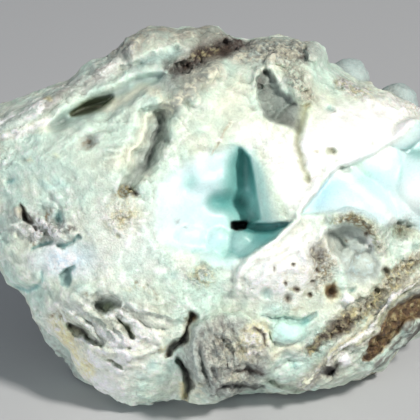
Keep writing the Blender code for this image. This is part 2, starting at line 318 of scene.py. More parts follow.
class Face(Places):
    """The stone's front, whose depth is carved."""

    def __init__(self, points: np.ndarray, close: bool = False) -> None:
        """Takes the points.

        Args:
            points: u, v and w of each point, in millimetres.
            close: Whether the crust's own small relief is worked out too.
        """
        super().__init__(points, 0.55)
        self.grit = np.full(len(points), 0.16)
        self.relief = np.zeros(len(points))
        self.close = close

    def rise(self, shape: np.ndarray, height: float) -> None:
        """Raises a shape by this many millimetres, or sinks it where the height is negative."""
        self.w += shape * height

    def cut(self, *marks: tuple) -> None:
        """Raises or sinks marks. Each has its place, size and height, and what else its shape takes."""
        for where, size, height, *more in marks:
            self.rise(self.mark(where, size, *more), height)

    def ball(self, at: Place, radii: Place, rise: float, turn: float = 0.0) -> None:
        """Sets a ball in the surface, with a crease where it meets what lies round it.

        Args:
            at: Its middle.
            radii: Half its length and half its width.
            rise: How far its top stands above the surface at its middle.
            turn: Degrees by which its length is turned from level.
        """
        self.perch(at, radii, self.level(at) + rise, turn)

    def level(self, at: Place) -> float:
        """How far forward the surface lies at a place."""
        away = np.hypot(self.plain_u - at[0], self.plain_v - at[1])
        return float(self.w[np.argmin(away + 1000.0 * (self.facing < 0.5))])

    def perch(self, at: Place, radii: Place, top: float, turn: float = 0.0) -> None:
        """Sets a ball whose top lies at this w. The other arguments are as for ball."""
        reach = self.reach(at, radii, turn)
        sphere = top + sum(radii) / 2.0 * (np.sqrt(np.clip(1.0 - reach**2, 0.0, 1.0)) - 1.0)
        within = (reach < 1.0) & (self.facing > 0.5)
        self.w = np.where(within, np.maximum(self.w, sphere), self.w)

    def band(self, shape: np.ndarray, turn: float, height: float, wavelength: float) -> None:
        """Gives a shape long low ridges, turned from level by some degrees, of this height in millimetres."""
        if self.close:
            self.relief += shape * height * layered(self.points, turn, wavelength)

    def roughen(self, shape: np.ndarray, grit: float) -> None:
        """Gives a shape this much crust, from 0 for smooth to 1 for granular."""
        self.grit += np.clip(shape, 0.0, 1.0) * (grit - self.grit)

    def crust(self, *marks: tuple) -> None:
        """Roughens marks. Each has its place, size and grit, and what else its shape takes."""
        for where, size, grit, *more in marks:
            self.roughen(self.mark(where, size, *more), grit)


class Coat(Places):
    """The colour of every point of the stone's surface."""

    def __init__(self, points: np.ndarray, normals: np.ndarray, hollow: np.ndarray) -> None:
        """Takes the finished surface.

        Args:
            points: u, v and w of each point.
            normals: The way each one faces, along u, v and w.
            hollow: How far each one lies in a crease, below 0 on a crest.
        """
        super().__init__(points, 0.7)
        self.normals = normals
        self.hollow = hollow
        self.colour = np.tile(Tint.MINT.light(), (len(points), 1))
        self.gloss = np.full(len(points), 0.35)
        self.coarse = fractal(points, 9.0, 3, 1.7)
        self.middling = fractal(points, 2.8, 3, 5.3)
        self.fine = fractal(points, 0.9, 2, 7.9)
        self.other_middling = fractal(points, 2.2, 3, 15.3)
        self.other_fine = fractal(points, 0.7, 2, 17.9)

    def lay(self, shape: np.ndarray, tint: Tint, strength: float = 1.0) -> None:
        """Paints a shape with a tint."""
        share = np.clip(shape * strength, 0.0, 1.0)[:, None]
        self.colour += share * (tint.light() - self.colour)

    def dab(self, *marks: tuple, within: Union[float, np.ndarray] = 1.0) -> None:
        """Paints marks, one over another.

        Args:
            marks: Each has its place, size, tint and strength, and what else its shape takes.
            within: A shape that they stay inside.
        """
        for where, size, tint, strength, *more in marks:
            self.lay(self.mark(where, size, *more) * within, tint, strength)

    def fleck(self, shape: np.ndarray, tint: Tint, cover: float, strength: float = 0.9) -> None:
        """Paints broken flecks of a tint over a shape.

        Args:
            shape: Where the flecks lie.
            tint: Their colour.
            cover: About how much of the shape they cover, 0 to 1.
            strength: How strongly they cover it.
        """
        cos, sin = math.cos(2.4 * ord(tint.value[1])), math.sin(2.4 * ord(tint.value[1]))
        middling = cos * self.middling + sin * self.other_middling
        fine = cos * self.fine + sin * self.other_fine
        broken = eased((0.55 * middling + 0.75 * fine + 1.5 * (cover - 0.5)) / 0.25 + 0.5)
        self.lay(shape * broken, tint, strength)

    def speckle(self, *marks: tuple, within: Union[float, np.ndarray] = 1.0) -> None:
        """Flecks marks, which are as for dab with their cover before their strength."""
        for where, size, tint, cover, strength, *more in marks:
            self.fleck(self.mark(where, size, *more) * within, tint, cover, strength)

    def shade(self, shape: np.ndarray, factor: float) -> None:
        """Multiplies a shape's colour, to no more than chalk's."""
        factors = 1.0 + np.clip(shape, 0.0, 1.0) * (factor - 1.0)
        self.colour = np.clip(self.colour * factors[:, None], 0.0, CHALK)

    def vein(self, shape: np.ndarray, tint: Tint, turn: float, cover: float, strength: float = 0.9) -> None:
        """Paints long thin streaks of a tint over a shape.

        Args:
            shape: Where the streaks lie.
            tint: Their colour.
            turn: Degrees by which they are turned from level.
            cover: About how much of the shape they cover, 0 to 1.
            strength: How strongly they cover it.
        """
        drawn = layered(self.points, turn, 1.5, 3.1 + turn / 50.0) + 0.2 * self.fine
        self.lay(shape * eased((drawn + 1.2 * (cover - 0.5)) / 0.25 + 0.5), tint, strength)

    def shine(self, shape: np.ndarray, gloss: float) -> None:
        """Gives a shape this much gloss, from 0 for dull to 1 for wet-looking."""
        self.gloss += np.clip(shape, 0.0, 1.0) * (gloss - self.gloss)


class Region(ABC):
    """One area of the stone's face, which carves its own relief and paints its own colours."""

    @abstractmethod
    def carve(self, face: Face) -> None:
        """Carves the region's relief."""

    @abstractmethod
    def paint(self, coat: Coat) -> None:
        """Paints the region's colours."""


@dataclass
class MainHollow(Region):
    """The large hollow, lined with smooth domes, that falls from the left to a deep corner under the nose."""

    depth: float = 4.4
    core_depth: float = 6.0
    rim: Path = (
        (5.4, -14.8), (2.8, -13.4), (0.2, -12.2), (-2.2, -11.4), (-4.6, -10.4), (-7.6, -9.6), (-10.6, -7.6),
        (-12.2, -4.4), (-12.8, -0.4), (-12.2, 3.6), (-10.2, 7.6), (-6.8, 10.4), (-3.2, 12.0), (0.4, 13.4),
        (3.6, 14.2), (6.6, 14.0), (9.4, 12.8), (11.4, 10.4), (12.6, 6.4), (13.4, 2.0), (14.8, -1.8),
        (18.0, -2.4), (17.4, -1.0), (15.0, -3.4), (13.0, -5.5), (10.8, -7.5), (9.8, -8.2), (7.6, -10.0),
        (6.0, -12.5),
    )
    open_side: Path = (
        (-2.0, 16.0), (6.6, 12.8), (8.4, 10.8), (9.2, 7.0), (9.8, 3.0), (10.6, -2.2), (8.0, -3.2),
        (-4.0, -3.2), (-8.0, 6.0),
    )
    saddle: Path = (
        (-6.0, 4.8), (-5.6, 10.0), (-2.0, 13.2), (4.4, 13.6), (8.0, 10.4), (7.6, 6.4), (5.6, 3.6), (1.6, 3.0),
        (-2.0, 3.0), (-4.8, 3.0),
    )

    def carve(self, face: Face) -> None:
        """Sinks the hollow and its core, and sets the nose over it and the domes on its floor."""
        face.smooth()
        core = face.streak(((7.2, 12.0), (8.4, 7.6), (9.2, 2.0), (9.6, -2.8)), (4.0, 12.0, 15.0, 11.0), 0.75)
        face.cut(((16.4, 4.8), (13.0, 13.0), 2.6))
        face.rise(face.patch(self.rim, 6.0, ((-8.0, 12.0), (7.2, 2.0))), -self.depth)
        face.rise(core * face.patch(self.open_side, 1.1), -self.core_depth)
        face.rise(face.patch(self.saddle, 3.4, ((1.6, 12.0), (0.6, 4.8))), 2.2)
        face.cut(
            (((1.4, 1.6), (5.6, 1.6)), 5.8, -3.0), ((-3.8, 5.4), (2.6, 2.0), -0.7, 40.0),
            ((-8.4, 1.6), (5.6, 6.0), 1.0, -15.0),
        )
        for at, radii, rise, turn in (
            ((-5.2, -5.2), (6.0, 3.4), 1.2, 0.0), ((1.6, -6.2), (2.8, 3.0), 2.4, 0.0),
            ((4.4, -10.8), (3.0, 1.9), 1.6, 20.0), ((0.2, -10.4), (3.2, 2.0), 1.4, -10.0),
        ):
            face.ball(at, radii, rise, turn)
        face.roughen(face.patch(self.rim, 2.6), 0.0)
        face.crust(((14.2, 4.4), (6.5, 9.0), 0.05, 10.0))
        face.ragged()
        face.cut(
            (((17.8, -1.5), (13.0, -5.8), (10.5, -7.9), (7.8, -10.3), (5.9, -13.0), (5.5, -16.6)), 2.2, 1.3),
        )

    def paint(self, coat: Coat) -> None:
        """Lines the hollow with pale blue, with painted teal shade that deepens towards the core under the
        nose, painted shadows under its lobes and a partly painted highlight on its left wall.
        """
        coat.smooth()
        lining = coat.patch(self.rim, 4.4)
        coat.lay(lining, Tint.ICE, 0.95)
        # Within the lining: white on the left wall, partly a painted highlight where it faces the light; aqua
        # over the lower domes as painted shade under the nose; aqua and sea at (-4, 5.6) as a painted shadow
        # under the saddle's lobe.
        coat.dab(
            ((-8.4, -0.8), (5.0, 8.0), Tint.WHITE, 0.4, -10.0),
            ((6.0, -6.0), (12.0, 8.0), Tint.AQUA, 0.9, 20.0, 0.8),
            ((0.6, 8.0), (5.6, 4.6), Tint.ICE, 0.8, 10.0), ((-4.0, 5.8), (3.2, 2.6), Tint.AQUA, 0.9, 50.0),
            ((-3.6, 5.4), (2.0, 1.6), Tint.SEA, 0.5, 50.0),
            within=lining,
        )
        # Painted shade in the deep core under the nose: aqua, sea and teal, darkest along its right side.
        inside = coat.patch(self.open_side, 0.8)
        away = coat.streak(((6.8, 12.8), (7.8, 9.0), (8.4, 4.0), (8.8, -0.4)), (6.0, 13.0, 18.0, 15.0), 0.8)
        coat.lay(away * inside, Tint.AQUA, 0.9)
        coat.lay(away * inside, Tint.SEA, 0.9)
        coat.dab(
            (((7.0, 12.0), (7.6, 8.8), (8.0, 4.4)), (4.0, 9.0, 6.0), Tint.TEAL, 0.85),
            (((5.4, 9.6), (5.0, 6.0), (5.6, 0.8)), (5.0, 8.0, 8.0), Tint.SEA, 0.9),
            (((6.2, 10.4), (6.0, 6.4), (6.4, 2.0)), (3.0, 5.0, 5.0), Tint.TEAL, 0.45),
            within=inside,
        )
        # Painted shade in the small pocket below the saddle: sea and teal. The lobes below keep their own
        # ice, sky and aqua.
        pocket = coat.streak(((1.4, 1.6), (5.2, 1.4), (8.4, 0.4)), (6.0, 6.6, 5.0))
        coat.lay(pocket * inside, Tint.SEA, 0.95)
        coat.dab(
            ((2.4, 1.6), (5.4, 3.0), Tint.TEAL, 0.8, 4.0), ((-5.2, -5.2), (6.0, 3.2), Tint.ICE, 0.8),
            ((1.4, -6.0), (2.3, 2.5), Tint.SKY, 0.4), ((1.2, -10.8), (7.0, 2.4), Tint.AQUA, 0.5, 5.0),
        )
        coat.shine(lining, 0.72)
        # The nose's left flank faces away from the light: its aqua streak is painted shade that fades into
        # mint. The olive streak is the crust's own.
        shut = 1.0 - coat.patch(self.open_side, 0.6)
        flank = shut * coat.patch(
            ((8.0, 12.0), (10.8, 13.6), (18.0, 12.0), (18.8, -1.2), (17.2, -2.4), (10.2, -2.4)), 0.8,
        )
        coat.lay(flank, Tint.MINT, 0.7)
        coat.dab(
            (((8.4, 11.6), (10.0, 6.0), (11.2, -1.0)), 3.6, Tint.AQUA, 0.8),
            (((13.2, 4.8), (14.8, 0.8)), 4.0, Tint.MINT, 0.8),
            (((13.4, 2.8), (15.0, -0.4)), 1.8, Tint.OLIVE, 0.25),
            within=flank,
        )
        # White on the nose; the thin sea arc is a painted shadow below the edge of the lower-left lobe.
        coat.dab(
            ((16.8, 3.2), (4.0, 6.0), Tint.WHITE, 0.9, 20.0),
            ((12.4, 10.0), (3.0, 3.0), Tint.WHITE, 0.5, 20.0),
            (((-4.4, -8.1), (-3.1, -8.3), (-1.9, -7.8)), 0.9, Tint.SEA, 0.9),
        )
        for at, radii in (((-6.5, -2.0), (0.55, 0.6)), ((-5.2, -3.6), (0.25, 0.25))):
            coat.lay(coat.spot(at, radii, edge=0.5), Tint.UMBER, 0.9)
        coat.ragged()
        coat.speckle((((9.2, -7.5), (11.8, -6.2)), 1.4, Tint.STRAW, 0.6, 0.9))


@dataclass
class Slot(Region):
    """The slot under the nose and the basin below it, at the bottom of the main hollow, both darkened with
    painted shade.
    """

    depth: float = 3.4
    hole_depth: float = 5.0
    slot: Path = (
        (4.2, -2.2), (7.6, -2.2), (12.0, -2.4), (17.0, -2.0), (15.6, -3.4), (12.4, -4.8), (8.0, -4.8),
        (4.6, -4.2),
    )
    hole: Path = ((4.0, -2.2), (7.6, -2.2), (7.4, -4.0), (5.4, -4.4), (4.0, -3.8))
    basin: Path = (
        (4.0, -4.0), (10.4, -4.0), (16.4, -2.4), (13.2, -6.0), (9.6, -8.2), (7.4, -9.6), (5.6, -10.0),
        (3.8, -8.6),
    )

    def carve(self, face: Face) -> None:
        """Cuts the slot and the small deep hole at its left end, and sets a ball below them."""
        face.smooth()
        face.rise(face.patch(self.slot, 0.5), -self.depth)
        face.rise(face.patch(self.hole, 0.4), -self.hole_depth)
        face.ball((6.4, -6.6), (3.1, 2.9), 1.6)
        face.roughen(face.patch(self.basin, 0.5), 0.0)
        face.ragged()

    def paint(self, coat: Coat) -> None:
        """Painted shade under the nose: teal, darkest in the slot and at the basin's right end, black in the
        hole, and a painted highlight on the ball.
        """
        coat.smooth()
        # Painted shade: sea, ash and teal over the basin in the nose's shadow, and a teal line below the
        # lower domes.
        basin = coat.patch(self.basin, 0.6)
        coat.lay(basin, Tint.SEA, 0.95)
        coat.lay(basin, Tint.ASH, 0.25)
        coat.dab(((11.2, -4.8), (6.0, 3.4), Tint.TEAL, 0.9, 30.0), within=basin)
        coat.dab((((2.8, -8.8), (5.2, -9.6), (8.0, -9.0)), 1.6, Tint.TEAL, 0.35))
        # Painted shade in the slot under the nose's overhang, and black in the deep hole.
        coat.lay(coat.patch(self.slot, 0.5), Tint.TEAL, 0.9)
        coat.lay(coat.patch(self.slot, 0.5), Tint.DEEP, 0.5)
        coat.lay(coat.patch(self.hole, 0.3), Tint.PITCH)
        # Painted highlight on the ball below the hole.
        coat.dab(((6.2, -6.4), (2.4, 2.0), Tint.AQUA, 0.35))
        coat.shine(basin, 0.8)
        coat.ragged()


@dataclass
class RightHollow(Region):
    """The hollow under the upper slab's edge, nearly filled by large smooth domes."""

    depth: float = 7.0
    rim: Path = (
        (14.5, -2.6), (17.3, -1.2), (19.5, 1.8), (22.0, 4.8), (24.0, 7.4), (25.3, 8.5), (27.0, 9.2),
        (30.0, 10.4), (33.0, 11.7), (35.0, 12.9), (37.0, 13.9), (39.5, 15.9), (41.1, 17.9), (43.0, 19.1),
        (50.0, 19.0), (52.0, 0.0), (45.0, -6.0), (43.0, -5.3), (40.5, -4.1), (37.5, -3.6), (35.0, -3.9),
        (33.0, -2.8), (30.0, -1.4), (26.0, -0.9), (21.5, -1.1), (18.0, -1.3),
    )

    def carve(self, face: Face) -> None:
        """Sinks the hollow under the slab's edge and sets the domes in it."""
        face.smooth()
        face.rise(face.patch(self.rim, 1.4), -self.depth)
        for at, radii, rise, turn in (
            ((26.3, 4.6), (5.4, 4.6), 6.6, -60.0), ((22.0, 0.8), (9.0, 4.0), 5.4, 45.0),
            ((28.0, -0.5), (9.4, 7.4), 7.4, -20.0), ((33.8, 7.8), (6.6, 5.8), 6.4, 30.0),
            ((38.0, 1.5), (7.4, 7.4), 6.8, 0.0), ((39.3, 15.2), (4.0, 2.6), 4.8, 32.0),
            ((42.3, 11.1), (3.2, 2.8), 4.6, 0.0), ((42.5, 5.0), (7.0, 6.8), 4.8, 0.0),
            ((44.5, 16.0), (4.2, 3.4), 3.2, 30.0),
        ):
            face.ball(at, radii, rise, turn)
        face.cut(((26.9, 8.3), (2.0, 0.9), -3.0, -8.0, 0.7))
        face.roughen(face.patch(self.rim, 0.8), 0.0)
        face.ragged()

    def paint(self, coat: Coat) -> None:
        """Pale aqua and sky blue, with painted highlights along the domes' crests and painted teal shade
        under the slab's edge and in the gap between two domes.
        """
        coat.smooth()
        lining = coat.patch(self.rim, 1.0)
        coat.lay(lining, Tint.ICE, 0.9)
        # Painted light and shade: white along the domes' crests, and a sea streak of painted shade under the
        # slab's edge.
        coat.dab(
            ((23.0, 4.0), (8.0, 4.0), Tint.SKY, 0.95, 50.0), ((33.0, 6.0), (6.0, 5.0), Tint.SKY, 0.4, 30.0),
            ((30.0, 8.5), (6.4, 3.4), Tint.AQUA, 0.95, -40.0),
            (((26.0, 8.5), (30.0, 9.7), (35.0, 12.2), (39.5, 15.5), (42.0, 18.0)), 2.6, Tint.SEA, 0.6),
            ((39.5, 15.0), (4.0, 2.2), Tint.AQUA, 0.9, 30.0), ((41.7, 11.2), (2.4, 2.2), Tint.SEA, 0.8),
            (((25.8, 8.0), (29.0, 4.8), (33.0, 1.6), (36.5, -2.0)), 3.0, Tint.WHITE, 0.6),
            ((40.5, 3.0), (5.0, 6.0), Tint.WHITE, 0.7),
            (((37.5, 12.5), (38.3, 9.5), (38.0, 6.0)), 1.2, Tint.AQUA, 0.9),
            within=lining,
        )
        # Painted shade in the dark gap where two domes meet.
        coat.dab(((26.9, 8.2), (2.2, 1.0), Tint.DEEP, 0.8, -8.0))
        coat.shine(lining, 0.7)
        coat.ragged()


@dataclass
class UpperLeft(Region):
    """Layered bands that run up to the right, with an open slit, and the valley beside them."""

    mass: Path = (
        (-31.5, 15.8), (-27.0, 18.4), (-24.5, 19.7), (-21.5, 19.9), (-18.5, 21.8), (-14.0, 24.5),
        (-11.9, 25.5), (-8.9, 23.5), (-7.8, 21.2), (-9.4, 18.9), (-12.7, 18.8), (-13.0, 16.0), (-14.5, 13.5),
        (-15.8, 12.0), (-16.3, 9.5), (-17.5, 6.0), (-20.5, 3.5), (-27.0, 3.5), (-32.0, 7.0), (-35.0, 11.5),
    )

    def carve(self, face: Face) -> None:
        """Raises the bands, opens the slit and cuts the valley."""
        seam = (
            (-44.0, 13.0), (-37.0, 16.0), (-32.5, 18.2), (-29.0, 22.8), (-25.0, 25.8), (-19.5, 28.2),
            (-14.0, 29.1),
        )
        trough = ((-31.5, 16.8), (-27.0, 19.0), (-23.0, 21.2), (-18.5, 23.0), (-14.0, 25.5), (-9.5, 26.9))
        face.cut(
            (
                ((-45.0, 16.5), (-39.0, 18.8), (-33.0, 21.0), (-27.0, 25.5), (-21.0, 28.8), (-16.0, 32.5)),
                5.4, 1.8,
            ),
            (seam, 1.8, -1.1),
        )
        face.smooth()
        core = ((-27.4, 19.2), (-24.5, 20.4), (-21.5, 21.4), (-19.5, 22.4))
        face.cut(
            (trough, (3.0, 5.0, 6.0, 5.0, 4.0, 2.6), -3.2), (core, (1.6, 3.2, 3.0, 1.4), -4.0, 0.8),
            ((-29.4, 17.5), (2.6, 1.6), -1.2, 40.0),
        )
        face.crust((trough, 4.6, 0.1))
        face.ragged()
        valley = ((-9.5, 19.0), (-10.4, 16.0), (-11.7, 12.5), (-13.6, 8.5), (-15.8, 5.5), (-17.1, 3.5))
        clear = 1.0 - np.clip(1.6 * face.streak(trough, 8.0), 0.0, 1.0)
        face.rise(face.patch(self.mass, 2.4, ((-30.0, 5.0), (-14.0, 21.5))), 3.4)
        face.cut(
            (((-27.0, 18.6), (-24.4, 19.8), (-21.5, 20.0), (-18.5, 21.9), (-14.0, 24.6)), 1.4, 0.8),
            (((-12.7, 18.5), (-13.0, 16.0), (-14.4, 13.7), (-15.8, 11.8), (-16.4, 9.5)), 1.8, 1.2),
            (((-20.5, 12.0), (-18.0, 12.2), (-16.0, 13.0)), 1.0, 0.8),
            (((-21.0, 10.2), (-19.0, 10.8), (-17.0, 11.5)), 1.0, 0.6),
            ((-24.2, 13.9), (3.2, 1.7), -1.8, 30.0),
        )
        face.rise(face.dome((-22.1, 14.8), (1.3, 0.9), 30.0), 1.4)
        face.cut(
            (valley, (5.6, 7.0, 7.4, 6.6, 5.0, 3.0), -4.6),
            (((-9.4, 18.0), (-10.0, 14.5), (-11.5, 10.8), (-13.0, 7.5)), (2.6, 4.4, 4.0, 2.2), -1.2),
            (((-11.0, 17.0), (-12.2, 13.0), (-13.7, 9.5)), 1.0, 1.0),
            (((-17.0, 3.5), (-14.8, 3.5)), 3.2, -1.0), ((-15.4, 3.3), (1.1, 0.9), -2.4),
            ((-39.8, 5.8), (1.6, 0.8), -0.9, 35.0), (((-32.5, 10.0), (-31.2, 11.0), (-30.0, 10.0)), 0.8, 0.5),
        )
        face.crust(
            ((-17.0, 3.5), (3.6, 2.2), 1.0), ((-17.5, -1.2), (5.2, 4.4), 1.0),
            ((-27.0, 12.0), (16.0, 9.0), 0.08, 30.0, 0.6),
            (((-45.0, 16.0), (-39.0, 18.0), (-33.0, 20.8), (-27.0, 24.9), (-21.0, 28.5)), 5.0, 0.3),
            (trough, 7.0, 0.0),
        )
        face.band(clear * face.spot((-29.0, 18.0), (20.0, 10.0), 32.0, 0.6), 33.0, 0.6, 3.2)
        face.band(
            face.streak(((-45.0, 16.0), (-39.0, 18.0), (-33.0, 20.8), (-27.0, 24.9)), 6.0), 33.0, 0.4, 1.4,
        )

    def paint(self, coat: Coat) -> None:
        """Grey-white crust on the rim, painted green shade in the slit, cream on the edges and painted
        grey-green shade in the valley.
        """
        rim = coat.streak(
            ((-45.0, 16.5), (-39.0, 18.2), (-33.0, 20.8), (-27.0, 24.8), (-21.0, 28.2), (-16.0, 32.0)), 6.0,
        )
        coat.lay(rim, Tint.PEARL, 0.85)
        coat.vein(rim, Tint.WHITE, 33.0, 0.5, 0.8)
        coat.vein(rim * (coat.u > -34.0), Tint.GRAVEL, 38.0, 0.4, 0.7)
        bright = coat.streak(((-43.0, 14.5), (-39.0, 15.5), (-35.0, 16.8), (-31.2, 18.0)), 3.4)
        coat.lay(bright, Tint.CREAM, 0.7)
        coat.vein(bright, Tint.WHITE, 25.0, 0.5)
        coat.smooth()
        # Painted shade in the slit under the upper band's lip: grey-green, ash, moss and black towards its
        # lower-left end.
        trough = coat.streak(
            ((-30.8, 17.2), (-27.0, 18.8), (-23.0, 21.2), (-18.5, 23.2), (-14.0, 25.8), (-9.5, 26.8)), 5.0,
        )
        coat.lay(trough, Tint.PEARL, 0.8)
        coat.lay(trough, Tint.SEA, 0.25)
        coat.dab(((-21.0, 22.0), (8.0, 3.0), Tint.ASH, 0.7, 30.0), within=trough)
        coat.dab(((-23.4, 21.3), (5.6, 2.6), Tint.MOSS, 0.85, 25.0))
        core = ((-27.5, 19.2), (-25.0, 20.4), (-22.0, 21.1), (-19.5, 22.1))
        coat.dab(
            (core, (2.0, 4.0, 4.0, 2.0), Tint.MOSS, 0.95, 0.7),
            (((-27.4, 19.0), (-25.0, 19.9), (-21.8, 20.7)), (1.2, 2.2, 1.2), Tint.PITCH, 0.7),
            ((-29.4, 17.3), (3.0, 1.6), Tint.ASH, 0.5, 40.0),
        )
        coat.ragged()
        coat.lay(coat.patch(self.mass, 2.0), Tint.MINT, 0.5)
        edge = (
            (-21.0, 20.0), (-14.0, 24.4), (-10.0, 23.5), (-9.0, 19.5), (-12.8, 18.0), (-13.2, 15.8),
            (-14.5, 13.5), (-16.0, 11.5),
        )
        coat.dab((edge, 3.0, Tint.CREAM, 0.75), ((-18.0, 10.0), (4.6, 3.2), Tint.CREAM, 0.6, 20.0))
        pit = coat.spot((-24.4, 13.8), (3.6, 2.0), 30.0)
        coat.lay(pit, Tint.LILAC, 0.7)
        coat.fleck(pit, Tint.LIMONITE, 0.4, 0.7)
        coat.lay(coat.dome((-22.1, 14.8), (1.4, 1.0), 30.0), Tint.PEARL, 0.8)
        valley = ((-9.4, 18.8), (-10.4, 16.0), (-11.7, 12.5), (-13.6, 8.5), (-15.8, 5.5), (-16.8, 3.5))
        # Painted shade in the valley, whose right wall faces away from the light: pearl, ash and darker
        # grey-green along its right side.
        coat.dab(
            (valley, (5.0, 6.6, 7.0, 6.0, 4.4, 2.6), Tint.PEARL, 0.9),
            (((-9.8, 18.0), (-10.2, 14.5), (-11.7, 10.8), (-13.5, 8.0)), (3.0, 5.2, 5.0, 2.6), Tint.ASH, 0.9),
            (
                ((-9.5, 17.5), (-9.9, 14.0), (-11.4, 10.8), (-13.0, 8.5)), (2.6, 4.4, 4.4, 2.0), Tint.SHADE,
                0.8,
            ),
        )
        coat.vein(coat.streak(valley, 6.0), Tint.PEARL, 55.0, 0.4, 0.5)
        brown = coat.spot((-17.1, 3.4), (3.4, 2.0))
        coat.fleck(brown, Tint.LIMONITE, 0.6)
        coat.fleck(brown, Tint.STRAW, 0.4)
        coat.dab(((-15.4, 3.3), (1.3, 1.0), Tint.UMBER, 0.9))
        granular = coat.spot((-17.5, -1.2), (5.4, 4.6))
        coat.lay(granular, Tint.CREAM, 0.7)
        coat.fleck(granular, Tint.STRAW, 0.45)
        coat.dab(
            ((-32.4, 22.4), (1.0, 0.8), Tint.STRAW, 0.8), ((-36.5, 9.9), (1.0, 0.7), Tint.STRAW, 0.5),
            ((-31.2, 10.8), (1.3, 0.9), Tint.STRAW, 0.35), ((-39.8, 5.6), (1.8, 0.9), Tint.SEA, 0.8, 35.0),
            ((-31.5, 5.0), (6.0, 1.6), Tint.AQUA, 0.6),
        )


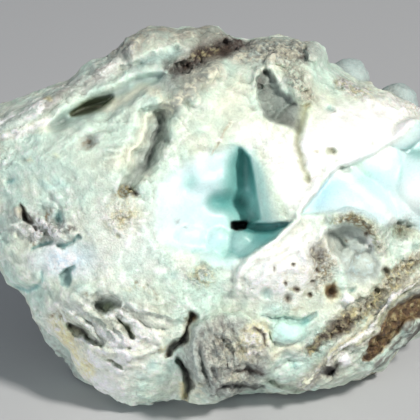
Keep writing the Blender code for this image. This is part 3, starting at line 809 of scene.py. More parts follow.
@dataclass
class Crest(Region):
    """The knobbly top of the stone, from the spine above the valley to the crust behind the slab."""

    knob_rise: float = 1.3
    trough: Path = ((-14.0, 29.1), (-10.0, 30.5), (-6.8, 31.8))

    def carve(self, face: Face) -> None:
        """Raises the crust and its knobs, and cuts the dark valley behind the spine."""
        valley = (
            (-7.5, 27.4), (-4.8, 28.7), (-2.0, 30.4), (-2.0, 31.0), (1.0, 32.4), (4.0, 33.0), (7.5, 33.4),
        )
        face.cut(
            (((-18.5, 31.5), (-14.0, 35.0), (-9.0, 36.2), (-3.0, 36.0), (1.0, 36.2), (5.0, 34.5)), 4.4, 1.6),
            (self.trough, (3.0, 4.0, 3.0), -2.0),
            ((-8.4, 29.7), (2.4, 1.7), -2.4, 30.0), (valley, (3.0, 4.0, 4.4, 5.0, 5.0, 4.0, 2.6), -3.6),
        )
        for at, radii in (((-4.9, 29.0), (1.5, 1.1)), ((0.5, 30.9), (2.0, 1.5)), ((2.8, 31.4), (2.4, 1.3))):
            face.rise(face.spot(at, radii), -2.0)
        for at, size in (
            ((-7.0, 21.2), 1.8), ((-5.2, 23.0), 2.2), ((-3.4, 24.6), 2.0), ((-1.7, 26.4), 2.4),
            ((0.1, 27.6), 2.0), ((-5.6, 19.9), 1.4), ((-3.2, 22.1), 1.4), ((0.0, 27.2), 2.4),
            ((2.2, 27.8), 1.8), ((13.0, 32.6), 2.8), ((15.6, 30.5), 2.4), ((13.0, 30.5), 1.8),
            ((10.5, 33.0), 2.0), ((17.0, 32.5), 2.0), ((28.0, 24.7), 1.6), ((30.0, 23.9), 1.4),
            ((32.2, 22.4), 1.6), ((34.9, 21.5), 1.8), ((37.2, 20.7), 1.8), ((39.5, 20.9), 1.6),
            ((35.8, 22.9), 1.2), ((26.7, 25.5), 1.2),
        ):
            face.rise(face.dome(at, (size, 0.78 * size), 25.0), self.knob_rise)
        face.cut(((18.1, 30.4), (1.4, 0.8), -1.8), (((13.0, 29.0), (16.0, 28.5), (19.0, 29.8)), 1.2, -1.0))
        face.smooth()
        face.rise(face.dome((21.2, 31.7), (2.2, 2.6), -20.0), 2.2)
        face.roughen(face.dome((21.2, 31.7), (2.2, 2.6), -20.0), 0.0)
        face.ragged()
        face.crust(
            (valley, 7.0, 1.0), (((26.0, 25.5), (32.0, 22.5), (36.0, 21.0), (42.0, 20.5)), 4.0, 1.0),
            (((8.0, 32.5), (13.0, 32.5), (19.5, 32.0)), 8.0, 0.9),
        )

    def paint(self, coat: Coat) -> None:
        """Grey-brown crust, umber in the valley, and cream where the crust catches the light."""
        top = coat.streak(
            ((-18.5, 31.5), (-14.0, 34.8), (-9.0, 36.1), (-3.0, 35.8), (1.0, 35.8), (5.5, 34.2), (9.5, 33.5)),
            8.0,
        )
        coat.lay(top, Tint.GRAVEL, 0.7)
        coat.fleck(top, Tint.CREAM, 0.34, 0.8)
        coat.fleck(top, Tint.PLUM, 0.34, 0.6)
        coat.dab(
            (((-15.0, 28.9), (-10.0, 30.4), (-6.8, 31.8)), 4.4, Tint.PEARL, 0.8),
            (self.trough, 3.6, Tint.SEA, 0.35),
            ((-8.4, 29.7), (2.6, 1.8), Tint.ASH, 0.7, 30.0),
        )
        valley = (
            (-7.0, 27.4), (-4.8, 28.7), (-2.0, 30.4), (-2.0, 31.0), (1.0, 32.4), (4.0, 33.0), (7.5, 33.4),
        )
        coat.dab((valley, (4.0, 6.0, 7.4, 8.0, 8.0, 6.4, 4.4), Tint.GRAVEL, 0.9))
        coat.speckle((valley, 6.4, Tint.PLUM, 0.8, 0.9), (valley, 5.0, Tint.UMBER, 0.5, 0.7))
        coat.dab(
            (((-1.5, 30.0), (-2.0, 31.0), (1.5, 31.0), (4.0, 32.2)), (3.0, 5.0, 5.4, 3.0), Tint.UMBER, 0.75),
        )
        for at, radii in (((-4.9, 29.0), (1.9, 1.4)), ((0.6, 30.9), (2.4, 1.6)), ((2.8, 31.4), (2.8, 1.6))):
            coat.lay(coat.spot(at, radii), Tint.UMBER, 0.85)
        coat.speckle(((-1.0, 31.5), (5.0, 1.6), Tint.STRAW, 0.42, 0.9, 20.0))
        coat.dab(((2.2, 30.9), (3.4, 1.8), Tint.UMBER, 0.55, 15.0))
        spine = coat.streak(((-7.5, 20.5), (-5.0, 23.0), (-2.0, 26.2), (1.0, 27.8), (1.0, 28.0)), 7.0)
        coat.lay(spine, Tint.GRAVEL, 0.7)
        coat.dab((((-7.5, 20.5), (-5.0, 23.0), (-2.0, 26.4)), 3.6, Tint.GRAVEL, 0.5))
        coat.fleck(spine, Tint.CREAM, 0.45, 0.8)
        coat.dab(((-7.5, 25.1), (5.4, 3.6), Tint.ASH, 0.7, 40.0))
        right = coat.streak(((9.5, 33.2), (14.5, 33.0), (19.5, 32.2)), 6.0)
        coat.lay(right, Tint.PEARL, 0.7)
        behind_pit = coat.streak(((5.5, 30.5), (9.5, 30.5), (14.5, 31.5), (19.0, 30.5)), 5.0)
        coat.lay(behind_pit, Tint.PEARL, 0.7)
        coat.fleck(behind_pit, Tint.GRAVEL, 0.55, 0.8)
        coat.fleck(behind_pit, Tint.CREAM, 0.4, 0.8)
        coat.fleck(right, Tint.GRAVEL, 0.6, 0.8)
        coat.fleck(right, Tint.CREAM, 0.4, 0.7)
        coat.dab(((18.1, 30.4), (1.6, 0.9), Tint.PLUM, 0.8))
        coat.lay(coat.dome((21.2, 31.7), (2.4, 2.8), -20.0), Tint.PEARL, 0.7)
        knobs = coat.streak(((26.0, 25.5), (30.0, 23.8), (33.0, 22.0), (37.0, 20.8), (42.0, 20.5)), 4.6)
        coat.lay(knobs, Tint.PEARL, 0.6)
        coat.fleck(knobs, Tint.CREAM, 0.5, 0.8)
        coat.fleck(knobs, Tint.WHITE, 0.5, 0.8)
        coat.fleck(knobs, Tint.PLUM, 0.3, 0.7)
        coat.fleck(knobs, Tint.STRAW, 0.4, 0.6)


@dataclass
class UpperRight(Region):
    """The broad bright slab at the right and the shaded pit at its left end."""

    pit_depth: float = 4.2
    pit: Path = (
        (8.8, 26.9), (10.0, 28.4), (11.6, 29.1), (13.0, 28.0), (14.3, 25.7), (15.8, 23.7), (17.8, 21.9),
        (19.0, 20.4), (18.6, 18.0), (18.2, 16.0), (17.9, 14.3), (16.3, 15.7), (14.3, 16.8), (12.3, 17.3),
        (10.6, 18.3), (9.6, 20.5), (9.1, 23.0), (8.3, 24.9),
    )
    crack: Path = ((0.4, 11.2), (2.1, 14.5), (4.3, 17.6))

    def carve(self, face: Face) -> None:
        """Sinks the pit, sets the knobs in it and cuts the small grooves and notches of the slab."""
        face.cut(((30.0, 16.5), (12.0, 6.0), 1.6, 22.0), ((18.0, 25.5), (5.4, 4.4), 2.2, -40.0))
        face.rise(face.patch(self.pit, 1.2, ((20.5, 23.0), (10.5, 21.0))), -self.pit_depth)
        face.rise(face.dome((9.9, 25.7), (1.6, 2.4)), 2.4)
        face.cut(((9.8, 24.4), (0.9, 0.7), -1.6))
        face.rise(face.dome((12.6, 26.9), (1.8, 2.4)), 1.4)
        for at, size in (
            ((16.6, 26.2), 1.3), ((18.0, 24.9), 1.4), ((19.2, 26.4), 1.2), ((17.6, 23.4), 1.2),
            ((19.6, 24.6), 1.0),
        ):
            face.rise(face.dome(at, (size, 0.8 * size), -30.0), 1.8)
        face.cut((((12.8, 18.2), (15.0, 20.5), (17.6, 22.7)), 1.4, 0.9))
        for at, radii in (((20.0, 22.9), (0.6, 0.4)), ((18.1, 23.9), (0.5, 0.5)), ((17.1, 25.4), (0.5, 0.4))):
            face.rise(face.spot(at, radii), -1.4)
        groove = (
            (19.2, 20.8), (18.4, 18.2), (17.9, 16.0), (17.4, 13.0), (17.9, 10.0), (19.2, 7.5), (19.5, 6.0),
        )
        face.cut(
            (groove, (3.0, 2.8, 2.8, 2.6, 2.6, 3.0, 2.4), -1.7), ((24.2, 11.6), (1.7, 1.2), -1.7),
            ((21.4, 11.8), (1.2, 0.6), -0.7), ((24.1, 20.0), (1.6, 1.0), -1.7, -20.0),
            ((25.1, 19.4), (0.7, 0.35), -1.2, -30.0), (self.crack, 1.0, 0.7),
            (((0.8, 12.0), (2.4, 14.9)), 0.5, -0.8),
            (((17.4, -0.5), (20.0, 3.0), (24.0, 8.2), (30.0, 11.2), (36.0, 14.1), (41.0, 18.4)), 2.4, 0.9),
        )
        face.crust(
            ((28.0, 15.0), (19.0, 8.6), 0.05, 22.0, 0.5), ((4.0, 18.0), (9.0, 7.0), 0.07, 0.0, 0.7),
            ((14.5, 21.5), (4.6, 6.0), 0.1), (((15.5, 30.5), (17.5, 25.5), (19.5, 22.5)), 5.0, 0.9),
            (((9.8, 28.0), (10.0, 24.5)), 3.0, 0.6),
        )

    def paint(self, coat: Coat) -> None:
        """Bright creamy mint on the slab, a painted grey shadow in the pit and olive in the grooves."""
        slab = coat.spot((28.0, 14.5), (18.0, 8.4), 22.0, 0.5)
        coat.lay(slab, Tint.WHITE, 0.95)
        coat.fleck(slab, Tint.MINT, 0.3, 0.35)
        coat.dab(
            ((17.0, 8.0), (6.0, 9.0), Tint.WHITE, 0.9, 20.0, 0.5),
            ((10.0, 14.5), (8.0, 4.0), Tint.WHITE, 0.6, -20.0, 0.7),
            ((4.0, 21.5), (6.0, 7.0), Tint.CREAM, 0.55),
        )
        # Painted shadow in the pit, cast by its right rim: ash and grey-green, with a darker diagonal band.
        pit = coat.patch(self.pit, 1.2)
        coat.lay(pit, Tint.ASH, 0.9)
        coat.lay(pit, Tint.SHADE, 0.25)
        coat.dab(
            ((11.5, 22.0), (3.4, 5.0), Tint.PEARL, 0.6, -20.0),
            ((16.5, 17.0), (3.6, 2.6), Tint.GRAVEL, 0.5, -40.0),
            (((12.8, 18.2), (15.2, 20.2), (18.0, 22.4)), 2.6, Tint.SHADE, 0.45),
            within=pit,
        )
        coat.speckle(((9.8, 26.0), (1.8, 2.6), Tint.LILAC, 0.6, 0.8), within=pit)
        rubble = coat.streak(((15.0, 31.0), (17.5, 26.0), (20.0, 22.5)), 5.4)
        coat.fleck(rubble, Tint.GRAVEL, 0.5, 0.8)
        coat.fleck(rubble, Tint.PLUM, 0.3, 0.7)
        coat.fleck(rubble, Tint.CREAM, 0.45, 0.8)
        for at, radii in (((20.0, 22.9), (0.7, 0.5)), ((9.5, 24.6), (1.1, 0.5)), ((25.0, 19.3), (0.8, 0.4))):
            coat.lay(coat.spot(at, radii), Tint.UMBER, 0.8)
        groove = (
            (19.2, 20.8), (18.4, 18.2), (17.9, 16.0), (17.4, 13.0), (17.9, 10.0), (19.2, 7.5), (19.5, 5.8),
        )
        # Olive in the groove and pits; the sea at (23.8, 20.4) is a painted shadow in the small notch.
        coat.dab(
            (groove, 3.2, Tint.OLIVE, 0.4), (groove, 1.4, Tint.OLIVE, 0.45),
            ((19.2, 20.8), (1.2, 1.0), Tint.STRAW, 0.7), ((19.2, 6.5), (1.1, 1.2), Tint.OLIVE, 0.6),
            ((24.2, 11.5), (1.9, 1.3), Tint.OLIVE, 0.75), ((24.8, 11.3), (0.7, 0.4), Tint.MOSS, 0.9),
            ((21.3, 11.8), (1.2, 0.6), Tint.STRAW, 0.5), ((23.8, 20.4), (1.9, 1.2), Tint.SEA, 0.7, -20.0),
        )
        crack = coat.streak(self.crack, 1.1)
        coat.fleck(crack, Tint.LIMONITE, 0.6, 0.7)
        coat.dab(((10.5, 11.0), (2.2, 2.6), Tint.CREAM, 0.4, 30.0))


@dataclass
class LowerRight(Region):
    """The lower right mass: the arched alcove, the limonite bands and the pale vein between them."""

    alcove_depth: float = 4.0
    vein_rise: float = 2.3
    alcove: Path = (
        (22.3, -5.1), (23.4, -3.4), (25.2, -2.7), (28.0, -2.0), (30.5, -2.5), (32.6, -4.0), (33.4, -6.2),
        (34.2, -9.2), (35.1, -11.8), (33.2, -15.0), (30.0, -15.6), (27.4, -14.7), (26.0, -12.5),
        (25.3, -10.0), (23.8, -7.5),
    )
    vein: Path = (
        (19.0, -35.2), (22.4, -31.8), (26.0, -28.0), (31.0, -25.1), (33.9, -21.1), (36.1, -18.0),
        (39.0, -15.9), (43.0, -13.8),
    )
    band: Path = (
        (20.0, -28.1), (23.2, -25.2), (27.4, -22.3), (32.5, -18.6), (36.5, -14.2), (39.8, -11.1),
        (43.5, -8.8),
    )
    second_band: Path = (
        (31.2, -29.6), (33.0, -27.3), (35.2, -24.0), (37.8, -21.1), (40.6, -19.4), (44.5, -18.0),
    )
    pores: tuple[tuple[Place, float], ...] = (
        ((17.2, -15.8), 0.85), ((15.5, -17.6), 0.8), ((16.8, -10.8), 0.5), ((19.9, -16.8), 0.6),
        ((13.0, -11.4), 0.4), ((15.2, -14.5), 0.4), ((21.5, -12.2), 0.6), ((20.5, -14.5), 0.5),
        ((27.5, -6.2), 0.4), ((31.2, -4.4), 0.7), ((31.8, -3.4), 0.5), ((35.1, -12.5), 0.95),
        ((37.3, -11.6), 0.6), ((33.0, -16.0), 0.8), ((28.2, -22.4), 0.7), ((26.0, -24.0), 0.6),
        ((24.0, -25.2), 0.6), ((30.5, -19.5), 0.5), ((22.0, -27.0), 0.5),
    )
    ledge: Path = ((10.5, -21.1), (12.5, -21.9), (15.0, -21.6), (18.0, -22.7), (20.0, -21.6), (21.3, -20.8))

    def carve(self, face: Face) -> None:
        """Raises the mass, hollows the alcove and cuts the bands and pits."""
        face.cut(((15.0, -11.0), (15.0, 8.4), 3.6, 25.0))
        for path in (
            ((9.8, -9.6), (14.5, -7.5), (20.0, -3.6)), ((11.1, -11.1), (14.5, -9.2), (17.6, -7.5)),
            ((7.0, -16.0), (9.5, -14.5), (11.5, -12.5)), ((19.0, -10.0), (18.0, -7.5), (20.0, -5.5)),
        ):
            face.rise(face.streak(path, 1.3), 0.7)
        face.rise(face.patch(self.alcove, 2.8, ((35.0, -17.0), (26.5, -5.0))), -self.alcove_depth)
        for at, radii, rise, turn in (
            ((29.0, -6.4), (3.4, 2.6), 1.0, -20.0), ((30.4, -11.1), (3.6, 3.0), 1.6, 0.0),
            ((26.7, -10.5), (2.0, 3.0), 0.9, 0.0), ((27.6, -17.9), (2.0, 1.5), 1.5, 0.0),
            ((26.0, -14.5), (1.6, 1.6), 0.8, 0.0),
        ):
            face.ball(at, radii, rise, turn)
        arch = (
            (21.7, -6.0), (22.9, -3.2), (25.2, -2.2), (28.0, -1.5), (31.1, -2.0), (33.2, -4.1), (34.2, -8.0),
        )
        face.cut(
            (arch, 1.7, 1.0), ((38.0, -3.8), (3.6, 2.6), -2.4), ((40.8, -7.1), (1.9, 1.0), -1.2, 30.0),
            ((22.3, -8.8), (2.6, 3.4), -1.6, 10.0), ((24.5, -16.1), (1.4, 2.3), -2.0, -12.0, 0.8),
        )
        for at, size in self.pores:
            face.rise(face.spot(at, (size, size), edge=0.7), -1.9)
            face.rise(face.spot(at, (1.8 * size, 1.8 * size)), 0.25)
        face.cut(
            ((11.3, -17.0), (1.7, 1.5), -1.2), ((28.6, -15.9), (1.3, 0.8), -1.8),
            (self.band, (2.0, 3.8, 5.8, 4.4, 5.4, 3.6, 4.0), -1.1, 0.5),
            (self.second_band, (2.2, 3.8, 4.8, 4.8, 4.6, 4.6), -3.3, 0.4),
            (self.vein, (2.6, 3.0, 3.6, 3.4, 2.8, 2.6, 2.8, 3.0), self.vein_rise),
            ([(u + 0.9, v - 0.2) for u, v in self.vein[2:]], 0.6, -0.9),
            ([(u - 0.7, v + 0.5) for u, v in self.vein[1:6]], 0.5, -0.6),
            (((34.0, -30.6), (37.5, -28.1), (40.2, -24.8), (43.0, -22.0)), 3.0, 0.8),
            (self.ledge, (1.2, 1.8, 1.8, 1.8, 2.6, 1.2), -2.0),
        )
        face.smooth()
        face.ball((15.5, -24.4), (3.6, 2.5), 2.2)
        face.ball((26.8, -29.9), (1.5, 1.5), 2.4)
        face.ragged()
        face.cut(
            (((12.5, -29.2), (15.5, -27.6), (18.2, -28.1)), 3.0, 1.3),
            (((12.8, -31.4), (15.5, -30.5), (18.5, -30.0)), 1.2, -1.2), ((16.8, -31.3), (1.6, 1.0), -1.2),
            ((23.7, -32.3), (1.9, 1.4), -4.4, 0.0, 0.5), ((25.6, -31.1), (1.4, 1.0), -2.6, 30.0),
            (((11.4, -33.8), (14.0, -34.8), (16.6, -35.4), (19.5, -36.5)), (1.6, 2.6, 3.0, 2.4), -2.6),
        )
        face.crust(
            ((13.0, -9.5), (9.0, 4.0), 0.06, 35.0, 0.6), ((15.0, -18.0), (5.0, 4.6), 0.25),
            (self.band, 6.4, 1.2),
            (((25.0, -1.8), (28.0, -1.3), (31.1, -2.2), (33.0, -4.5), (34.0, -7.5)), 4.0, 1.0),
            ((38.0, -3.8), (4.6, 3.6), 0.9), (self.second_band, 4.6, 1.0),
            ((23.0, -11.5), (3.4, 7.6), 1.0, -8.0),
        )
        face.roughen(face.patch(self.alcove, 1.0), 0.12)
        face.crust(((15.5, -24.4), (4.0, 2.8), 0.0), (self.vein, 2.6, 0.4))
        face.band(face.streak(self.vein, 5.4), 44.0, 1.0, 1.5)
        face.band(face.streak(((32.0, -32.0), (37.5, -28.0), (43.0, -22.0)), 5.0), 48.0, 0.9, 1.8)
        face.band(face.streak(((20.5, -36.0), (26.0, -32.0), (31.0, -30.0)), 5.0), 40.0, 0.7, 1.6)

    def paint(self, coat: Coat) -> None:
        """Cream on the mass, blue-grey in the alcove with painted shade under its arch, brown limonite bands,
        an ivory vein, and painted shade in a few holes and under the ledge.
        """
        mass = coat.spot((16.0, -10.4), (16.0, 10.0), 25.0, 0.7)
        coat.lay(mass, Tint.WHITE, 0.85)
        coat.fleck(mass, Tint.CREAM, 0.36, 0.5)
        coat.dab(((13.0, -20.0), (4.6, 3.0), Tint.AQUA, 0.6))
        alcove = coat.patch(self.alcove, 1.4)
        coat.lay(alcove, Tint.PEARL, 0.85)
        # Painted shade: ash over the alcove, strongest at its top under the arch.
        coat.lay(alcove, Tint.ASH, 0.22)
        coat.lay(alcove * coat.spot((28.0, -6.5), (5.0, 3.4)), Tint.ASH, 0.3)
        coat.lay(alcove * coat.streak(((22.6, -5.5), (25.2, -3.8), (30.0, -3.2)), 4.0), Tint.ASH, 0.7)
        coat.speckle(((30.0, -11.0), (5.0, 5.0), Tint.ICE, 0.45, 0.7), within=alcove)
        arch = coat.streak(((25.0, -1.8), (28.0, -1.3), (31.1, -2.2), (33.0, -4.5), (33.8, -7.5)), 3.0)
        coat.lay(arch, Tint.CREAM, 0.7)
        coat.speckle(
            (
                ((23.5, -2.2), (26.0, -1.7), (29.0, -1.5), (31.8, -3.3), (33.0, -6.5)), 3.4, Tint.OLIVE, 0.45,
                0.8,
            ),
            (((26.0, -2.0), (28.0, -1.7), (30.5, -2.5), (32.2, -5.0)), 2.8, Tint.LIMONITE, 0.45, 0.9),
            (((26.5, -1.8), (28.5, -1.6), (30.5, -2.4), (31.5, -4.0)), 1.8, Tint.UMBER, 0.42, 0.9),
            ((32.5, -6.0), (2.0, 3.0), Tint.WHITE, 0.5, 0.9, -30.0),
        )
        brown = coat.spot((38.0, -3.9), (4.0, 3.0))
        coat.lay(brown, Tint.OLIVE, 0.6)
        coat.fleck(brown, Tint.LIMONITE, 0.5, 0.8)
        coat.fleck(brown, Tint.UMBER, 0.4, 0.8)
        coat.dab(((40.8, -7.1), (2.4, 1.2), Tint.AQUA, 0.7, 30.0))
        porous = coat.spot((22.5, -11.5), (3.4, 7.4), -8.0, 0.8)
        coat.lay(porous, Tint.GRAVEL, 0.1)
        coat.fleck(porous, Tint.CREAM, 0.6, 0.85)
        coat.fleck(porous, Tint.LIMONITE, 0.44, 0.8)
        grey = coat.spot((21.6, -8.7), (2.8, 4.2), 14.0, 0.7)
        coat.lay(grey, Tint.GRAVEL, 0.6)
        coat.fleck(grey, Tint.UMBER, 0.46, 0.8)
        coat.fleck(grey, Tint.CREAM, 0.36, 0.8)
        coat.fleck(coat.spot((18.0, -15.8), (4.6, 2.6), -20.0), Tint.OLIVE, 0.45, 0.8)
        coat.fleck(coat.spot((17.0, -19.8), (2.4, 0.8)), Tint.LIMONITE, 0.5, 0.6)
        coat.lay(coat.spot((24.5, -16.1), (1.8, 2.9), -12.0, 0.6), Tint.STRAW, 0.8)
        coat.lay(coat.spot((24.5, -16.1), (1.3, 2.2), -12.0, 0.5), Tint.RUST, 0.9)
        coat.speckle(((24.4, -16.1), (1.3, 2.2), Tint.LIMONITE, 0.5, 0.9, -12.0, 0.5))
        coat.dab(
            ((24.9, -15.5), (0.7, 1.3), Tint.LIMONITE, 0.9), ((24.0, -17.4), (0.9, 0.8), Tint.PITCH, 0.7),
        )
        for at, size in self.pores:
            coat.lay(coat.spot(at, (1.7 * size, 1.7 * size)), Tint.LIMONITE, 0.75)
            coat.lay(coat.spot(at, (size, size)), Tint.UMBER, 0.9)
        # Aqua in one pit; the teal in the small hole at (28.6, -15.9) is painted shade.
        coat.dab(((11.3, -17.0), (1.9, 1.7), Tint.AQUA, 0.8), ((28.6, -15.9), (1.4, 0.9), Tint.TEAL, 0.75))
        coat.lay(coat.dome((27.5, -17.9), (1.8, 1.3)), Tint.WHITE, 0.8)
        band = coat.streak(self.band, (2.0, 3.8, 6.0, 4.4, 5.6, 3.6, 4.0), 0.8)
        coat.speckle((self.band, (4.0, 6.4, 7.0, 7.4, 7.4, 7.0, 6.0), Tint.LIMONITE, 0.4, 0.8))
        coat.lay(band, Tint.LIMONITE, 0.75)
        coat.fleck(band, Tint.STRAW, 0.42, 0.85)
        coat.fleck(band, Tint.CREAM, 0.3, 0.9)
        coat.fleck(band, Tint.UMBER, 0.42, 0.9)
        upper = coat.streak(((30.0, -19.5), (35.0, -15.5), (39.6, -11.1), (43.5, -8.8)), 6.4)
        coat.fleck(upper, Tint.CREAM, 0.5, 0.75)
        grey_green = coat.streak(((21.5, -31.0), (26.5, -27.5), (30.5, -24.5)), 3.4)
        coat.lay(grey_green, Tint.OLIVE, 0.5)
        coat.fleck(grey_green, Tint.GRAVEL, 0.5, 0.7)
        second = coat.streak(self.second_band, (2.2, 4.2, 5.4, 5.6, 5.4, 5.4), 0.4)
        coat.lay(second, Tint.RUST, 0.95)
        coat.fleck(second, Tint.LIMONITE, 0.55, 0.85)
        coat.fleck(second, Tint.UMBER, 0.36, 0.7)
        coat.fleck(second, Tint.STRAW, 0.22, 0.6)
        coat.dab((((38.0, -17.2), (40.5, -16.6), (44.0, -17.0)), 3.4, Tint.PITCH, 0.6))
        vein = coat.streak(self.vein, (3.4, 3.4, 3.8, 3.6, 3.0, 2.8, 3.0, 3.2), 0.6)
        coat.lay(vein, Tint.CREAM, 0.95)
        coat.vein(vein, Tint.GRAVEL, 44.0, 0.62, 0.8)
        coat.vein(vein, Tint.LIMONITE, 44.0, 0.4, 0.7)
        coat.vein(vein, Tint.OLIVE, 44.0, 0.42, 0.7)
        coat.vein(vein, Tint.WHITE, 44.0, 0.45, 0.8)
        coat.dab(
            ([(u + 0.9, v - 0.2) for u, v in self.vein[2:]], 0.9, Tint.OLIVE, 0.6),
            ([(u - 0.8, v + 0.5) for u, v in self.vein[1:6]], 0.8, Tint.STRAW, 0.6),
        )
        outer = coat.streak(((34.0, -30.8), (37.5, -28.3), (40.4, -24.8), (43.0, -22.0)), 3.4)
        coat.lay(outer, Tint.PEARL, 0.8)
        coat.vein(outer, Tint.PLUM, 48.0, 0.55, 0.8)
        coat.speckle((((36.0, -28.0), (39.5, -24.0), (42.5, -20.5)), 3.0, Tint.UMBER, 0.5, 0.8))
        coat.dab((((33.0, -32.5), (37.0, -29.8), (40.5, -26.0), (42.0, -23.0)), 1.6, Tint.PITCH, 0.8))
        coat.smooth()
        coat.lay(coat.dome((15.5, -24.2), (4.4, 3.0)), Tint.AQUA, 0.9)
        # Painted shade under the ledge: sea along it and a sea triangle at its right end.
        coat.dab((self.ledge, 1.6, Tint.SEA, 0.4), ((19.2, -22.3), (2.2, 1.4), Tint.SEA, 0.9, 40.0))
        coat.lay(coat.dome((26.8, -29.9), (1.7, 1.7)), Tint.WHITE, 0.95)
        coat.ragged()
        coat.dab(
            (((12.5, -29.0), (15.5, -27.5), (18.2, -28.1)), 3.4, Tint.CREAM, 0.85),
            ((16.8, -31.2), (1.9, 1.3), Tint.AQUA, 0.8),
        )
        crust = coat.spot((23.8, -32.5), (4.2, 2.8), 20.0)
        coat.lay(crust, Tint.LILAC, 0.7)
        coat.fleck(crust, Tint.CREAM, 0.4, 0.8)
        coat.fleck(crust, Tint.UMBER, 0.4, 0.8)
        # The pitch in the deep hole at (23.7, -32.3) is painted shade; the moss along the bottom furrow is a
        # painted shadow under the undercut.
        coat.dab(
            ((23.7, -32.3), (1.9, 1.4), Tint.PITCH, 0.95, 0.0, 0.5),
            ((25.4, -31.2), (1.5, 1.0), Tint.UMBER, 0.9, 30.0),
            (((11.4, -34.1), (14.0, -35.2), (16.6, -36.0), (19.5, -37.0)), 2.6, Tint.MOSS, 0.5),
        )


@dataclass
class Foot(Region):
    """The wrinkled crusty lobe at the stone's foot and the dark crevices to its left."""

    bulge: float = 4.6
    crevice: Path = ((-3.5, -21.1), (-4.3, -23.4), (-5.4, -26.0), (-7.0, -27.4), (-8.8, -29.0))
    wrinkle: Path = ((-2.0, -28.0), (-1.4, -32.0), (0.4, -35.5))
    ridge: Path = ((-1.7, -23.0), (-3.6, -26.0), (-3.3, -30.0), (-1.7, -33.6))
    split: Path = ((9.1, -23.6), (10.5, -25.0), (11.6, -27.6))
    crease: Path = ((5.3, -32.5), (7.5, -32.3), (10.2, -32.6))

    def carve(self, face: Face) -> None:
        """Raises the lobe, folds its crust and opens the crevices."""
        face.rise(face.dome((3.6, -29.2), (9.0, 9.0)), self.bulge)
        face.cut(
            (self.crevice, (3.0, 1.6, 3.0, 3.0, 1.2), -3.6),
            (((-6.3, -29.9), (-4.5, -32.5), (-3.9, -35.1), (-4.8, -37.6)), (1.6, 2.4, 2.4, 2.0), -5.4),
            (self.ridge, 2.8, 1.6),
        )
        for path in (
            ((-3.2, -29.0), (-2.2, -32.5), (-0.5, -36.0)), ((-1.0, -28.0), (-0.5, -32.0), (1.2, -35.2)),
            ((1.0, -26.0), (2.5, -29.0), (2.0, -32.5)), ((-4.0, -33.0), (-2.5, -36.0), (0.0, -38.0)),
            ((3.5, -25.0), (5.0, -28.0), (5.5, -30.5)), ((5.5, -24.0), (7.5, -26.8), (8.5, -30.0)),
        ):
            face.rise(face.streak(path, 1.3), 0.9)
        for path in (
            self.wrinkle, ((0.2, -27.0), (0.8, -30.5), (1.7, -34.0)),
            ((-3.5, -31.0), (-2.0, -35.0), (0.2, -37.0)), ((2.2, -25.2), (3.6, -28.0), (3.8, -31.5)),
        ):
            face.rise(face.streak(path, 0.9), -1.3)
        face.cut(
            (self.split, (0.8, 1.3, 0.8), -1.8),
            ((7.5, -22.3), (0.6, 1.0), -1.4), ((6.4, -28.3), (0.5, 0.5), -1.2),
            (((2.4, -35.2), (6.0, -35.1), (10.6, -35.4)), (1.4, 2.0, 1.4), -2.4),
            (self.crease, 1.1, -1.8),
            (((2.0, -26.0), (1.0, -25.0), (0.0, -25.2)), 1.0, -1.0),
        )
        face.roughen(face.dome((3.6, -29.2), (9.0, 9.0)), 0.8)
        face.band(face.dome((2.4, -29.2), (9.0, 9.0)), -68.0, 0.7, 1.8)

    def paint(self, coat: Coat) -> None:
        """Lilac-grey in the middle, straw yellow at the right, and limonite in the crevices with near-black
        painted shade in their depths.
        """
        lobe = coat.spot((3.2, -29.6), (10.0, 10.0), edge=0.35)
        coat.lay(lobe, Tint.LILAC, 0.7)
        coat.vein(lobe, Tint.PEARL, -68.0, 0.5, 0.8)
        coat.vein(lobe, Tint.PLUM, -68.0, 0.34, 0.6)
        coat.speckle(((3.5, -28.0), (6.0, 5.0), Tint.CREAM, 0.5, 0.8), within=lobe)
        yellow = coat.spot((8.8, -26.0), (4.0, 5.4), -25.0, 0.6)
        coat.lay(yellow, Tint.CREAM, 0.95)
        coat.fleck(yellow, Tint.STRAW, 0.42, 0.6)
        coat.fleck(yellow, Tint.WHITE, 0.4, 0.6)
        coat.dab((self.ridge, 3.0, Tint.PEARL, 0.8))
        coat.speckle(((5.5, -34.0), (5.6, 1.8), Tint.CREAM, 0.45, 0.9))
        coat.dab(
            (self.split, 1.3, Tint.UMBER, 0.85),
            ((6.4, -28.3), (0.6, 0.6), Tint.MOSS, 0.8),
        )
        coat.speckle((((1.0, -24.5), (2.0, -26.0), (3.5, -27.5)), 2.0, Tint.UMBER, 0.42, 0.9))
        coat.dab(
            (((2.4, -35.4), (6.0, -35.3), (10.8, -35.5)), (1.6, 2.2, 1.6), Tint.PITCH, 0.85),
            (self.crease, 1.3, Tint.UMBER, 0.85),
        )
        # The crevices: limonite at their edges, and near-black painted shade in their depths.
        coat.dab(
            (self.crevice, (3.4, 2.2, 3.4, 3.4, 1.8), Tint.LIMONITE, 0.6),
            (self.crevice, (2.6, 0.8, 2.2, 2.6, 0.8), Tint.PITCH, 0.9, 0.8),
        )
        second = ((-6.3, -30.0), (-4.5, -32.6), (-3.9, -35.1), (-4.8, -37.5))
        coat.dab((second, (1.8, 3.0, 3.0, 2.4), Tint.PITCH, 0.9))
        coat.speckle((((-5.6, -35.0), (-5.2, -38.0)), 2.2, Tint.STRAW, 0.8, 0.9))
        coat.dab((self.wrinkle, 1.0, Tint.ASH, 0.7))
        coat.speckle(((-2.0, -36.0), (2.4, 2.6), Tint.CREAM, 0.6, 0.9))


